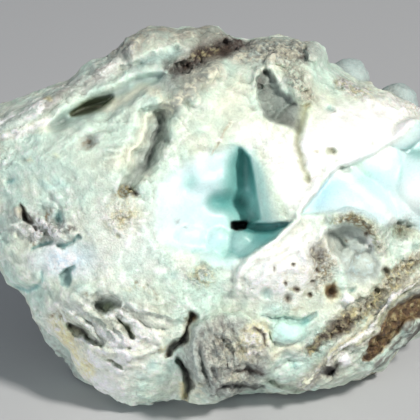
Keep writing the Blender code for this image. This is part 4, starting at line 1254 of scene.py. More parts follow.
@dataclass
class LowerLeft(Region):
    """The lower left mass: open pockets between crusty folds, and the nodular patch above them."""

    pocket: Path = (
        (-30.4, -13.0), (-29.4, -11.6), (-26.4, -10.6), (-27.7, -12.4), (-27.4, -14.0), (-28.2, -15.8),
        (-29.9, -15.3),
    )
    slit: Path = ((-27.8, -23.1), (-26.1, -24.2), (-24.5, -25.2), (-21.9, -27.1))
    side_slit: Path = ((-24.9, -22.4), (-22.6, -24.4), (-21.2, -26.6))

    def carve(self, face: Face) -> None:
        """Opens the pockets, folds the crust between them and sets the nodules."""
        triangle = (
            (-21.1, -30.1), (-20.0, -29.7), (-17.7, -31.2), (-17.5, -32.6), (-19.0, -31.6), (-20.4, -30.8),
        )
        face.cut(
            ((-21.0, -24.0), (16.0, 12.0), 2.4), ((-20.8, -19.0), (3.2, 2.4), -3.4, 10.0, 0.6),
            ((-22.8, -17.2), (1.8, 1.4), -1.8),
            (((-18.5, -21.5), (-16.9, -23.3), (-15.8, -25.5)), (2.2, 3.4, 2.2), -3.0),
            (((-16.8, -18.5), (-14.0, -20.2), (-10.0, -20.8), (-7.0, -22.0)), 1.6, 1.0),
            (((-15.5, -21.5), (-12.5, -23.0), (-9.5, -24.0)), 1.8, -1.4),
            (((-14.0, -25.0), (-11.0, -26.0), (-9.0, -28.0)), 1.5, 0.9),
            (((-18.8, -23.8), (-17.4, -25.4), (-17.0, -27.0)), 1.1, 1.1),
            (self.slit, (2.2, 3.2, 2.8, 1.2), -3.6),
            (self.side_slit, (1.4, 2.4, 1.4), -2.0),
            (((-26.5, -22.0), (-23.7, -24.0), (-21.9, -26.0)), 1.1, 1.1),
            (((-25.5, -20.0), (-22.0, -21.5), (-20.0, -24.0), (-18.5, -26.5)), 1.6, 1.0),
            ((-16.2, -27.5), (0.7, 0.4), -1.4, 20.0),
        )
        face.rise(face.patch(triangle, 0.5), -2.4)
        face.smooth()
        face.rise(face.patch(self.pocket, 0.5, ((-30.1, -15.2), (-27.5, -11.1))), -3.2)
        face.ragged()
        face.cut(
            (((-38.7, -15.5), (-36.5, -15.7), (-34.1, -15.2)), 1.4, -1.8),
            (((-33.7, -12.2), (-33.5, -14.8)), 0.9, -0.9), ((-34.4, -3.6), (9.0, 6.0), -1.6),
            ((-38.3, -0.5), (1.6, 1.4), 2.0, 0.0, 0.4),
            (((-37.6, 0.8), (-37.0, -0.8), (-35.8, -2.4)), (1.0, 1.6, 1.0), -3.2),
        )
        for at, radii, rise in (
            ((-40.3, -3.0), (1.1, 1.0), 1.6), ((-39.8, -5.3), (1.2, 0.9), 1.4),
            ((-34.1, -1.9), (1.3, 1.0), 1.5), ((-32.7, -3.4), (1.3, 1.1), 1.5),
            ((-30.9, -4.6), (1.7, 1.3), 2.2), ((-28.9, -3.4), (1.5, 1.1), 1.8),
            ((-27.6, -5.0), (1.3, 1.0), 1.6), ((-34.5, -5.0), (1.3, 1.0), 1.4),
            ((-30.0, -5.9), (1.3, 0.9), 1.5), ((-38.7, -3.5), (1.0, 0.8), 1.2),
            ((-36.5, -4.0), (1.4, 1.0), 1.4),
        ):
            face.rise(face.dome(at, radii), rise)
        face.cut(
            (((-35.6, -7.6), (-33.8, -6.8), (-31.8, -6.4)), 1.3, -2.0),
            (((-30.1, -7.1), (-28.0, -6.4), (-26.3, -5.5)), 1.4, -2.0), ((-30.1, -1.1), (1.1, 1.9), -1.8),
            ((-30.4, -20.8), (2.2, 1.7), -0.9), (((-14.8, -14.8), (-12.5, -15.5), (-11.1, -16.2)), 0.9, -0.9),
            ((-18.1, -5.0), (1.0, 0.9), -1.4), ((-14.0, -15.2), (2.4, 1.0), 0.7, -15.0),
            (((-21.0, -28.0), (-16.0, -29.0), (-11.0, -28.0)), 2.0, 0.9),
        )
        face.crust(
            ((-33.0, -3.5), (8.4, 4.6), 0.9), ((-20.0, -23.0), (15.0, 9.0), 0.5),
            ((-12.0, -32.5), (6.0, 4.0), 0.1), ((-2.0, -13.0), (4.0, 3.0), 1.0),
            ((-30.0, -9.5), (7.0, 3.0), 0.15), ((-12.0, -10.0), (8.0, 5.0), 0.12),
            ((-29.5, -10.0), (9.0, 4.0), 0.08),
        )
        face.band(face.spot((-20.0, -22.0), (15.0, 8.0), -20.0, 0.7), -32.0, 0.9, 2.4)

    def paint(self, coat: Coat) -> None:
        """Pale lavender and aqua between cream crusts, with painted shade in the pockets, slits and under the
        ledges, brown nodules, and the cream crust brightened as painted light.
        """
        lavender = coat.spot((-29.2, -10.0), (10.0, 5.6), edge=1.0)
        coat.lay(lavender, Tint.LAVENDER, 0.9)
        coat.fleck(lavender, Tint.WHITE, 0.45, 0.7)
        low = coat.spot((-22.0, -26.0), (17.0, 12.0), edge=0.7)
        coat.lay(low, Tint.WHITE, 0.8)
        coat.vein(low, Tint.CREAM, -30.0, 0.5, 0.7)
        coat.vein(low, Tint.MINT, -30.0, 0.36, 0.5)
        coat.dab(((-21.0, -35.0), (9.0, 4.4), Tint.WHITE, 0.7, -30.0))
        coat.vein(coat.spot((-19.5, -20.5), (12.0, 5.4), -15.0), Tint.GRAVEL, -28.0, 0.45, 0.7)
        # Painted shade in the two pockets below the lavender: pearl, ash and moss, with umber in the small
        # hole beside them.
        coat.dab(
            ((-21.0, -19.0), (3.6, 2.6), Tint.PEARL, 0.7),
            ((-20.8, -19.2), (3.2, 2.2), Tint.ASH, 0.8, 10.0, 0.6),
            ((-20.3, -19.3), (2.4, 1.9), Tint.MOSS, 0.9), ((-22.0, -17.6), (1.2, 0.8), Tint.UMBER, 0.6),
            (((-18.4, -21.8), (-16.9, -23.3), (-15.9, -25.4)), (1.6, 2.6, 1.6), Tint.MOSS, 0.85),
        )
        # Painted shade in the slit, black at its left end, and in the small hole beside it.
        coat.dab(
            (self.slit, (2.2, 2.8, 2.4, 1.2), Tint.MOSS, 0.8),
            (self.slit[:3], (1.4, 1.8, 1.2), Tint.PITCH, 0.9),
            (self.side_slit, 2.2, Tint.ASH, 0.6),
            ((-16.2, -27.5), (0.8, 0.5), Tint.UMBER, 0.8, 20.0),
        )
        triangle = (
            (-21.2, -30.1), (-20.0, -29.6), (-17.6, -31.1), (-17.3, -32.7), (-19.0, -31.7), (-20.5, -30.9),
        )
        # Painted shade in the triangular hole.
        coat.lay(coat.patch(triangle, 0.3), Tint.MOSS, 0.7)
        crust = coat.streak(((-30.8, -22.5), (-28.5, -26.0), (-27.0, -29.0), (-24.0, -32.5)), 4.4)
        coat.lay(crust, Tint.CREAM, 0.95)
        coat.fleck(crust, Tint.STRAW, 0.55, 0.75)
        coat.fleck(coat.spot((-27.8, -25.5), (3.2, 2.6), -35.0), Tint.STRAW, 0.75, 0.85)
        coat.fleck(coat.spot((-29.5, -21.5), (2.4, 2.4)), Tint.OLIVE, 0.5, 0.75)
        coat.dab((((-24.5, -21.1), (-21.5, -22.5), (-19.5, -25.0)), 2.0, Tint.MINT, 0.6))
        coat.speckle(((-24.0, -31.0), (3.4, 2.4), Tint.STRAW, 0.45, 0.7, -40.0))
        # Painted light: the cream crust is brightened, as the lower left faces away from the key light.
        coat.shade(crust, 1.25)
        coat.smooth()
        # Painted shade in the small pocket at the far left.
        coat.lay(coat.patch(self.pocket, 0.3), Tint.SEA, 0.8)
        coat.lay(coat.patch(self.pocket, 0.3), Tint.ASH, 0.5)
        coat.dab(((-27.2, -11.5), (1.2, 0.7), Tint.SEA, 0.6, 60.0))
        coat.ragged()
        # Painted shadows under the two small ledges.
        coat.dab(
            (((-38.7, -15.5), (-36.5, -15.8), (-34.1, -15.3)), 1.6, Tint.SEA, 0.8),
            (((-33.7, -12.2), (-33.5, -14.8)), 1.0, Tint.SEA, 0.6),
        )
        nodules = coat.spot((-33.5, -3.5), (8.6, 4.4), -8.0, 0.8)
        coat.lay(nodules, Tint.PEARL, 0.6)
        coat.fleck(nodules, Tint.LILAC, 0.4, 0.6)
        coat.fleck(nodules, Tint.WHITE, 0.6, 0.85)
        coat.fleck(nodules, Tint.PLUM, 0.24, 0.8)
        coat.dab(
            ((-38.3, -0.5), (1.7, 1.5), Tint.LILAC, 0.8, 0.0, 0.5),
            ((-38.3, -0.3), (1.4, 1.1), Tint.STRAW, 0.3),
            (((-37.7, 0.9), (-37.0, -0.8), (-35.7, -2.4)), (1.2, 1.9, 1.2), Tint.UMBER, 0.95),
        )
        coat.speckle(
            ((-28.1, -3.9), (2.4, 1.4), Tint.UMBER, 0.46, 0.9),
            ((-32.5, -1.0), (2.4, 1.6), Tint.LIMONITE, 0.5, 0.9, 40.0),
            ((-35.0, -6.2), (2.2, 1.6), Tint.LIMONITE, 0.44, 0.8, 40.0),
        )
        # Painted shade: teal in the two grooves below the nodules and sea in the small hole above them.
        coat.dab(
            (((-35.6, -7.7), (-33.8, -7.0), (-31.8, -6.5)), 1.5, Tint.TEAL, 0.7),
            (((-30.0, -7.2), (-28.0, -6.5), (-26.2, -5.5)), 1.5, Tint.TEAL, 0.7),
            ((-30.0, -1.2), (1.3, 1.9), Tint.SEA, 0.8),
        )
        coat.speckle(
            ((-30.4, -20.8), (2.8, 2.0), Tint.LIMONITE, 0.45, 0.8),
            ((-24.4, -16.8), (2.2, 1.8), Tint.LIMONITE, 0.4, 0.6),
            (((-15.0, -14.8), (-12.5, -15.5), (-10.8, -17.2)), 1.6, Tint.LIMONITE, 0.55, 0.8),
            ((-16.2, -15.5), (2.2, 1.6), Tint.STRAW, 0.5, 0.8),
        )
        coat.dab(((-18.1, -5.1), (1.1, 0.9), Tint.OLIVE, 0.8))
        coat.fleck(coat.spot((-1.5, -13.0), (3.8, 3.4), -40.0), Tint.STRAW, 0.5, 0.85)
        coat.fleck(coat.spot((-1.0, -11.8), (1.6, 1.2)), Tint.CREAM, 0.7)
        coat.dab(((-7.5, -13.0), (2.2, 2.0), Tint.AQUA, 0.6), ((-11.6, -31.5), (2.4, 1.6), Tint.AQUA, 0.7))
        coat.fleck(coat.spot((-3.8, -21.9), (2.2, 1.6)), Tint.LIMONITE, 0.6, 0.8)
        coat.fleck(coat.spot((-9.5, -28.0), (2.2, 1.2), 20.0), Tint.STRAW, 0.5)


def creases(piece: bpy.types.Mesh, points: np.ndarray, normals: np.ndarray, rounds: int) -> np.ndarray:
    """How far each point lies below the smoothed surface round it.

    Args:
        piece: The mesh, whose edges join the points.
        points: Its points, in millimetres.
        normals: The way each one faces.
        rounds: How often the surface is smoothed. More rounds find broader creases.

    Returns:
        Millimetres, below 0 on a crest.
    """
    pairs = np.empty(len(piece.edges) * 2, np.int64)
    piece.edges.foreach_get("vertices", pairs)
    start, end = pairs.reshape(-1, 2).T
    joined = np.maximum(np.bincount(pairs, minlength=len(points)), 1)[:, None]
    smooth = points.copy()
    for _ in range(rounds):
        total = np.zeros_like(smooth)
        for axis in range(3):
            total[:, axis] = np.bincount(start, smooth[end, axis], len(points))
            total[:, axis] += np.bincount(end, smooth[start, axis], len(points))
        smooth = total / joined
    return ((smooth - points) * normals).sum(axis=1)


def mesh_points(mesh: bpy.types.Mesh) -> np.ndarray:
    """The places of a mesh's points, in metres."""
    flat = np.empty(len(mesh.vertices) * 3)
    mesh.vertices.foreach_get("co", flat)
    return flat.reshape(-1, 3)


def mesh_normals(mesh: bpy.types.Mesh) -> np.ndarray:
    """The way each of a mesh's points faces."""
    flat = np.empty(len(mesh.vertices) * 3)
    mesh.vertex_normals.foreach_get("vector", flat)
    return flat.reshape(-1, 3)


def finished(piece: bpy.types.Object) -> None:
    """Turns a piece's modifiers into its mesh."""
    graph = bpy.context.evaluated_depsgraph_get()
    mesh = bpy.data.meshes.new_from_object(piece.evaluated_get(graph))
    piece.modifiers.clear()
    old, piece.data = piece.data, mesh
    bpy.data.meshes.remove(old)


def linked(name: str, mesh: bpy.types.Mesh) -> bpy.types.Object:
    """Puts a mesh in the scene as an object."""
    piece = bpy.data.objects.new(name, mesh)
    bpy.context.scene.collection.objects.link(piece)
    return piece


def add_node(tree: bpy.types.NodeTree, kind: str, links: dict, **settings: object) -> bpy.types.Node:
    """Adds a shader node.

    Args:
        tree: The material's nodes.
        kind: The node's type.
        links: What goes into each named input: an output socket, or a fixed value.
        settings: The node's own options.

    Returns:
        The node.
    """
    node = tree.nodes.new(kind)
    for option, value in settings.items():
        setattr(node, option, value)
    for name, value in links.items():
        socket = node.inputs[name]
        if isinstance(value, bpy.types.NodeSocket):
            tree.links.new(value, socket)
        else:
            socket.default_value = value
    return node


@dataclass(frozen=True)
class WaxyHemimorphite:
    """Hemimorphite crust as it grew: a translucent zinc silicate with a waxy to glassy skin.

    Light sinks a little way in and comes back soft, so the pale blue lining glows; the teal of its shadows is
    also painted into its colour as painted shade.
    The granular crusts are dull, and the smooth lining is glossier.
    """

    name: str = "hemimorphite_crust"
    ior: float = 1.62
    dull: float = 0.78
    glossy: float = 0.34
    glow: float = 0.3
    glow_depth_mm: float = 0.9
    grain_mm: float = 0.45
    chip_mm: float = 1.4
    chip_height_mm: float = 0.9
    plain_mottle: float = 0.3
    crust_mottle: float = 1.3

    def make(self) -> bpy.types.Material:
        """Makes the material, which reads its colour, gloss and grit from the stone's own points."""
        material = bpy.data.materials.new(self.name)
        material.use_nodes = True
        tree = material.node_tree
        shader = tree.nodes["Principled BSDF"]
        colour = add_node(tree, "ShaderNodeAttribute", {}, attribute_name="crust_colour")
        gloss = add_node(tree, "ShaderNodeAttribute", {}, attribute_name="crust_gloss")
        grit = add_node(tree, "ShaderNodeAttribute", {}, attribute_name="crust_grit")
        where = add_node(tree, "ShaderNodeTexCoord", {})
        # Grains about as fine as sugar, 0.45 mm, mottle the crust and roughen it.
        grain = add_node(tree, "ShaderNodeTexNoise", {
            "Vector": where.outputs["Object"], "Scale": 1.0 / (self.grain_mm * MM),
            "Detail": 3.0, "Roughness": 0.6,
        })
        # Broken chips about 1.4 mm across, with finer ones on them, catch the light on the crust.
        chips = add_node(tree, "ShaderNodeTexNoise", {
            "Vector": where.outputs["Object"], "Scale": 1.0 / (self.chip_mm * MM),
            "Detail": 6.0, "Roughness": 0.72, "Distortion": 0.8,
        })
        mottle = add_node(tree, "ShaderNodeMath", {
            0: grain.outputs["Fac"], 1: chips.outputs["Fac"],
        }, operation="ADD")
        contrast = add_node(tree, "ShaderNodeMapRange", {
            "Value": grit.outputs["Fac"], "From Max": 0.8,
            "To Min": self.plain_mottle, "To Max": self.crust_mottle,
        })
        centred = add_node(tree, "ShaderNodeMath", {0: mottle.outputs["Value"], 1: -1.0}, operation="ADD")
        uneven = add_node(tree, "ShaderNodeMath", {
            0: centred.outputs["Value"], 1: contrast.outputs["Result"],
        }, operation="MULTIPLY")
        shade = add_node(tree, "ShaderNodeMath", {0: uneven.outputs["Value"], 1: 1.0}, operation="ADD")
        tinted = add_node(tree, "ShaderNodeVectorMath", {
            0: colour.outputs["Color"], "Scale": shade.outputs["Value"],
        }, operation="SCALE")
        rough = add_node(tree, "ShaderNodeMapRange", {
            "Value": gloss.outputs["Fac"], "To Min": self.dull, "To Max": self.glossy,
        })
        rugged = add_node(tree, "ShaderNodeMath", {0: grit.outputs["Fac"], 1: 0.6}, operation="POWER")
        relief = add_node(tree, "ShaderNodeMath", {
            0: mottle.outputs["Value"], 1: rugged.outputs["Value"],
        }, operation="MULTIPLY")
        bump = add_node(tree, "ShaderNodeBump", {
            "Height": relief.outputs["Value"], "Strength": 1.0, "Distance": self.chip_height_mm * MM,
        })
        tree.links.new(tinted.outputs["Vector"], shader.inputs["Base Color"])
        tree.links.new(rough.outputs["Result"], shader.inputs["Roughness"])
        tree.links.new(bump.outputs["Normal"], shader.inputs["Normal"])
        shader.inputs["IOR"].default_value = self.ior
        shader.inputs["Subsurface Weight"].default_value = self.glow
        shader.inputs["Subsurface Radius"].default_value = (0.7, 1.0, 1.0)
        shader.inputs["Subsurface Scale"].default_value = self.glow_depth_mm * MM
        return material


@dataclass(frozen=True)
class Crust:
    """The rough regions' relief, from swells to grains: how wide its forms are and how high, in mm."""

    usual_grit: float = 0.16
    granular_grit: float = 0.6
    broken_size: float = 9.0
    swell_size: float = 6.5
    swell_height: float = 0.25
    shelf_size: float = 7.0
    shelf_height: float = 0.5
    fold_size: float = 4.0
    fold_height: float = 0.16
    chip_size: float = 3.2
    chip_height: float = 0.2
    lump_size: float = 2.2
    lump_height: float = 0.6
    wrinkle_size: float = 1.8
    wrinkle_height: float = 0.2
    grain_size: float = 1.2
    grain_height: float = 0.35
    sugar_size: float = 0.9
    sugar_height: float = 0.3
    skin_size: float = 1.6
    skin_height: float = 0.02

    def relief(self, points: np.ndarray, grit: np.ndarray, start: np.ndarray) -> np.ndarray:
        """Works out the relief.

        Args:
            points: Places in millimetres.
            grit: How much crust each has, 0 to 1.
            start: The relief that each has already, in millimetres.

        Returns:
            Millimetres, one value a point.
        """
        some = eased(grit / self.usual_grit)
        broken = eased(0.4 + 1.5 * fractal(points, self.broken_size, 2, 3.3))
        granular = eased((grit - self.granular_grit) / 0.4)
        relief = start + some * self.swell_height * fractal(points, self.swell_size, 2, 2.9)
        relief += some * broken * (0.3 + grit) * self.shelf_height * shelves(points, self.shelf_size, 2, 1.7)
        folds = crumpled(points, self.fold_size, 4, 6.1) - CRUMPLED_MIDDLE
        relief += some * (0.5 + broken) * self.fold_height * folds
        relief += some * broken * self.chip_height * chipped(points, self.chip_size, 0.7)
        lumps = self.lump_height * fractal(points, self.lump_size, 4, 6.1)
        wrinkles = crumpled(points, self.wrinkle_size, 3, 7.7) - CRUMPLED_MIDDLE
        relief += grit * (lumps + self.wrinkle_height * wrinkles)
        grains = self.grain_height * chipped(points, self.grain_size, 4.4)
        relief += granular * (grains + self.sugar_height * fractal(points, self.sugar_size, 2, 5.5))
        relief += self.skin_height * fractal(points, self.skin_size, 2, 9.9)
        return relief


@dataclass
class Stone:
    """The hemimorphite: one piece, carved from a ball drawn out to the outline, roughened and painted."""

    front_bulge: float = 23.0
    back_bulge: float = 31.0
    heel: float = 0.15
    tip_back: float = 30.0
    sight: float = 700.0
    under_middle: tuple[float, float, float] = (1.4, 1.5, -34.3)
    bed_height: float = 3.2
    bed_share: float = 0.24
    surface_step: float = 0.31
    most_faces: int = 196000
    noise_seed: int = 5
    plainness: float = 1.2e-5
    outline: Path = (
        (47.4, 4.0), (46.2, 11.0), (44.4, 16.4), (42.0, 20.2), (39.5, 21.6), (36.5, 23.0), (33.0, 24.4),
        (29.6, 25.2), (26.4, 27.0), (23.4, 29.2), (22.6, 32.0), (21.2, 33.4), (18.6, 33.6), (16.0, 34.4),
        (13.0, 34.6), (8.0, 33.8), (5.2, 34.4), (2.8, 35.4), (0.4, 36.6), (-2.0, 36.2), (-4.0, 36.6),
        (-6.4, 36.2), (-9.0, 36.8), (-12.0, 36.6), (-14.4, 35.8), (-16.8, 34.2), (-18.0, 32.2), (-20.8, 30.6),
        (-23.6, 29.6), (-26.0, 27.8), (-28.4, 25.8), (-31.6, 24.8), (-37.6, 22.6), (-42.0, 20.6),
        (-44.8, 18.8), (-46.8, 15.0), (-47.4, 10.0), (-47.0, 3.0), (-45.4, -4.0), (-43.4, -9.4),
        (-42.0, -12.4), (-40.8, -14.8), (-38.4, -16.2), (-36.8, -17.4), (-36.0, -19.6), (-35.4, -21.6),
        (-33.0, -23.6), (-30.4, -26.0), (-28.0, -28.4), (-27.0, -31.2), (-24.0, -34.4), (-21.2, -36.6),
        (-18.4, -38.2), (-16.0, -39.2), (-13.0, -39.2), (-10.0, -38.4), (-6.8, -38.0), (-4.0, -38.6),
        (-1.0, -39.6), (1.2, -39.4), (3.6, -37.6), (6.6, -36.2), (10.4, -35.8), (13.6, -36.8), (16.4, -37.0),
        (20.0, -36.0), (24.0, -35.0), (28.0, -34.0), (31.6, -33.0), (34.2, -31.4), (37.0, -28.6),
        (40.0, -26.0), (42.0, -24.0), (44.2, -20.6), (45.8, -16.0), (47.0, -9.6), (47.6, -2.4),
    )
    back_lumps: tuple[tuple[tuple[float, float, float], float], ...] = (
        ((27.6, 26.2, -7.0), 4.2), ((24.8, 25.2, -9.0), 3.8), ((37.8, 21.4, -8.0), 4.1),
    )

    def __post_init__(self) -> None:
        """Sets out the regions of the face."""
        self.regions: tuple[Region, ...] = (
            MainHollow(), RightHollow(), UpperLeft(), Crest(),
            UpperRight(), LowerRight(), Foot(), LowerLeft(),
            Slot(),
        )

    def form(self, directions: np.ndarray) -> np.ndarray:
        """The stone's broad form: a unit ball drawn out to the outline, with a fuller face than back."""
        outline = np.array(self.outline)
        angles = np.arctan2(outline[:, 1], outline[:, 0])
        order = np.argsort(angles)
        reach = np.hypot(outline[:, 0], outline[:, 1])[order]
        turned = np.arctan2(directions[:, 1], directions[:, 0])
        stretch = np.interp(turned, angles[order], reach, period=2.0 * math.pi)
        toward = directions[:, 2]
        front = self.front_bulge * np.abs(toward) ** 0.9
        back = self.back_bulge * np.abs(toward) ** 0.85
        w = np.where(toward > 0.0, front, -back)
        heel = np.where(directions[:, 1] < 0.0, 1.0 + self.heel * eased(-w / 20.0), 1.0)
        return np.column_stack((directions[:, 0] * stretch, directions[:, 1] * stretch * heel, w))

    def rough_back(self, points: np.ndarray) -> np.ndarray:
        """Adds broken planes, lumps and small hollows to the sides and back."""
        behind = eased(-points[:, 2] / 6.0)[:, None]
        outward = points / np.linalg.norm(points, axis=1)[:, None]
        broken = 3.4 * fractal(points, 26.0, 3, 3.7) + 1.6 * bubbles(points, 9.0, 1.3) - 0.9
        return points + outward * behind * broken[:, None]

    def uneven(self, points: np.ndarray) -> np.ndarray:
        """Adds a fine unevenness all over."""
        outward = points / np.linalg.norm(points, axis=1)[:, None]
        return points + outward * (0.55 * fractal(points, 5.0, 3, 8.1))[:, None]

    def settled(self, points: np.ndarray) -> np.ndarray:
        """Flattens the underside to a bumpy bed on which the stone stands."""
        height = points[:, 2]
        bumpy = 0.9 * fractal(points, 10.0, 2, 2.2) - 1.5
        below = self.bed_height - height
        bed = self.bed_height - self.bed_share * below + bumpy * eased(below / 3.0)
        return np.column_stack((points[:, :2], np.where(below > 0.0, bed, height)))

    def placed(self, points: np.ndarray) -> np.ndarray:
        """Takes carved points to the stone's own attitude and place, in millimetres."""
        scale = 1.0 - points[:, 2] / self.sight
        u, v, w = points[:, 0] * scale, points[:, 1] * scale, points[:, 2]
        cos, sin = cos_sin(self.tip_back)
        tipped = np.column_stack((u, v * sin - w * cos, v * cos + w * sin)) - self.under_middle
        return self.settled(tipped)

    def seen(self, points: np.ndarray) -> np.ndarray:
        """Takes placed points, in millimetres, back to u, v and w."""
        x, y, z = (points + self.under_middle).T
        cos, sin = cos_sin(self.tip_back)
        w = z * sin - y * cos
        scale = 1.0 - w / self.sight
        return np.column_stack((x / scale, (y * sin + z * cos) / scale, w))

    def seen_ways(self, normals: np.ndarray) -> np.ndarray:
        """Turns the ways that points face to u, v and w."""
        x, y, z = normals.T
        cos, sin = cos_sin(self.tip_back)
        return np.column_stack((x, y * sin + z * cos, z * sin - y * cos))

    def carved(self, fine: int) -> bpy.types.Mesh:
        """Carves the stone and the lumps on its back.

        Args:
            fine: How finely the ball is divided.

        Returns:
            The mesh, still with a ball's faces.
        """
        shape = bmesh.new()
        start = bmesh.ops.create_icosphere(shape, subdivisions=fine, radius=1.0)["verts"]
        face = Face(self.form(np.array([corner.co for corner in start])))
        for region in self.regions:
            region.carve(face)
        face.w += face.facing * eased(face.grit / 0.16) * (0.8 * shelves(face.points, 15.0, 2, 4.3))
        parts = [self.rough_back(np.column_stack((face.plain_u, face.plain_v, face.w)))]
        for middle, radius in self.back_lumps:
            lump = bmesh.ops.create_icosphere(shape, subdivisions=5, radius=1.0)["verts"]
            parts.append(np.array([corner.co for corner in lump]) * radius + middle)
        places = self.placed(self.uneven(np.vstack(parts))) * MM
        mesh = bpy.data.meshes.new("hemimorphite_stone")
        shape.to_mesh(mesh)
        shape.free()
        mesh.vertices.foreach_set("co", places.ravel())
        return mesh

    def crusted(self, mesh: bpy.types.Mesh) -> None:
        """Adds the crumpled and granular crust to the fused stone, where its regions are rough."""
        points = mesh_points(mesh) / MM
        normals = mesh_normals(mesh)
        face = Face(self.seen(points), close=True)
        for region in self.regions:
            region.carve(face)
        relief = Crust().relief(points, face.grit, face.relief)
        points += normals * relief[:, None]
        points[:, 2] = np.maximum(points[:, 2], 0.0)
        mesh.vertices.foreach_set("co", (points * MM).ravel())
        mesh.update()

    def thinned(self, piece: bpy.types.Object, share: float) -> None:
        """Thins the skin to a share of its faces, mostly behind and below, where it is plainer.

        Args:
            piece: The stone.
            share: How many of its faces are kept, 0 to 1.
        """
        seen = self.seen(mesh_points(piece.data) / MM)
        plain = piece.vertex_groups.new(name="plain")
        steps = 1 + np.round(4.0 * eased((1.0 - seen[:, 2]) / 6.0)).astype(int)
        for step in range(1, 6):
            plain.add(np.flatnonzero(steps == step).tolist(), step / 5.0, "REPLACE")
        thin = piece.modifiers.new("thin", "DECIMATE")
        thin.ratio = share
        thin.vertex_group = plain.name
        thin.vertex_group_factor = self.plainness
        finished(piece)
        piece.vertex_groups.clear()

    def build(self) -> bpy.types.Object:
        """Builds the stone: carved, fused into one skin, crusted and thinned."""
        noise.seed_set(self.noise_seed)
        piece = linked("hemimorphite_stone", self.carved(8))
        fuse = piece.modifiers.new("fuse", "REMESH")
        fuse.mode = "VOXEL"
        fuse.voxel_size = self.surface_step * 1.0 * MM
        finished(piece)
        self.crusted(piece.data)
        count = sum(len(face.vertices) - 2 for face in piece.data.polygons)
        if count > self.most_faces:
            self.thinned(piece, self.most_faces / count)
        piece.data.polygons.foreach_set("use_smooth", np.ones(len(piece.data.polygons), bool))
        kept = sum(len(face.vertices) - 2 for face in piece.data.polygons)
        log.info("stone: %d triangles fused, %d kept", count, kept)
        return piece

    def body_colours(self, coat: Coat) -> None:
        """Mottles the whole stone in mint, aqua and cream, before its regions are painted."""
        everywhere = np.ones(len(coat.w))
        coat.lay(eased(0.5 + 0.9 * coat.coarse), Tint.AQUA, 0.3)
        coat.lay(eased(0.4 - 1.0 * coat.coarse + 0.5 * coat.middling), Tint.CREAM, 0.45)
        coat.fleck(everywhere, Tint.WHITE, 0.35, 0.4)
        coat.lay(eased(-0.3 + 1.3 * coat.middling - 0.6 * coat.coarse), Tint.PEARL, 0.3)
        coat.lay(coat.spot((-17.0, -5.0), (13.0, 14.0), 30.0), Tint.WHITE, 0.45)
        behind = eased(-coat.w / 5.0)
        coat.lay(behind * eased(0.5 + coat.coarse), Tint.PEARL, 0.7)
        coat.fleck(behind, Tint.LILAC, 0.35, 0.6)
        coat.fleck(behind * eased(0.2 - 1.5 * coat.coarse), Tint.LIMONITE, 0.45, 0.8)

    def lump_colours(self, coat: Coat) -> None:
        """Blue-grey hemimorphite, translucent-looking, on the lumps behind the slab, with darker spots."""
        for middle, radius in self.back_lumps:
            away = np.linalg.norm(np.column_stack((coat.plain_u, coat.plain_v, coat.w)) - middle, axis=1)
            lump = eased((1.3 * radius - away) / 1.2)
            coat.lay(lump, Tint.ICE, 0.8)
            coat.lay(lump, Tint.ASH, 0.45)
            dark = coat.plain_u - middle[0] + 0.5 * (coat.plain_v - middle[1])
            coat.lay(lump * eased((1.4 - np.abs(dark)) / 1.2), Tint.PLUM, 0.25)
            coat.shine(lump, 0.6)

    def painted_crease_shade_and_crest_light(self, coat: Coat, broad: np.ndarray) -> None:
        """Paints shade into the crust's creases and broad hollows, painted highlights on its crests, and
        painted teal shade in the lining's hollows.
        """
        crusty = 1.0 - eased((coat.gloss - 0.45) / 0.2)
        coat.shade(crusty * eased((coat.hollow - 0.03) / 0.16), 0.76)
        coat.shade(crusty * eased((-coat.hollow - 0.01) / 0.1), 1.2)
        coat.shade(crusty * eased((broad - 0.35) / 0.8), 0.76)
        coat.lay((1.0 - crusty) * eased((broad - 0.3) / 1.2), Tint.SEA, 0.35)

    def dress(self, piece: bpy.types.Object) -> None:
        """Paints the stone and gives it its material."""
        mesh = piece.data
        points, normals = mesh_points(mesh) / MM, mesh_normals(mesh)
        coat = Coat(self.seen(points), self.seen_ways(normals), creases(mesh, points, normals, 3))
        self.body_colours(coat)
        for region in self.regions:
            region.paint(coat)
        self.lump_colours(coat)
        # Painted shade in the creases and painted highlights on the crests.
        self.painted_crease_shade_and_crest_light(coat, creases(mesh, points, normals, 14))
        face = Face(coat.points)
        for region in self.regions:
            region.carve(face)
        opaque = np.column_stack((coat.colour, np.ones(len(points))))
        for name, kind, field, values in (
            ("crust_colour", "FLOAT_COLOR", "color", opaque.ravel()),
            ("crust_gloss", "FLOAT", "value", coat.gloss),
            ("crust_grit", "FLOAT", "value", face.grit),
        ):
            mesh.attributes.new(name, kind, "POINT").data.foreach_set(field, values)
        mesh.materials.clear()
        mesh.materials.append(WaxyHemimorphite().make())


@dataclass(frozen=True)
class Softbox:
    """A round soft light.

    It hangs at these metres from the stone: to the viewer's right, up and towards the viewer. Its width is in
    metres, its power in watts and its tone an sRGB hex.
    """

    name: str
    hangs: tuple[float, float, float]
    width: float
    watts: float
    tone: str

    def hang(self, look_at: Vector, turn: Quaternion) -> None:
        """Hangs the light.

        Args:
            look_at: What it points at.
            turn: The turn from the viewer's right, up and towards to the world's axes.
        """
        light = bpy.data.lights.new(self.name, "AREA")
        light.shape = "DISK"
        light.size = self.width
        light.energy = self.watts
        light.color = linear(self.tone)
        lamp = bpy.data.objects.new(self.name, light)
        away = turn @ Vector(self.hangs)
        lamp.location = look_at + away
        lamp.rotation_mode = "QUATERNION"
        lamp.rotation_quaternion = (-away).to_track_quat("-Z", "Y")
        bpy.context.scene.collection.objects.link(lamp)


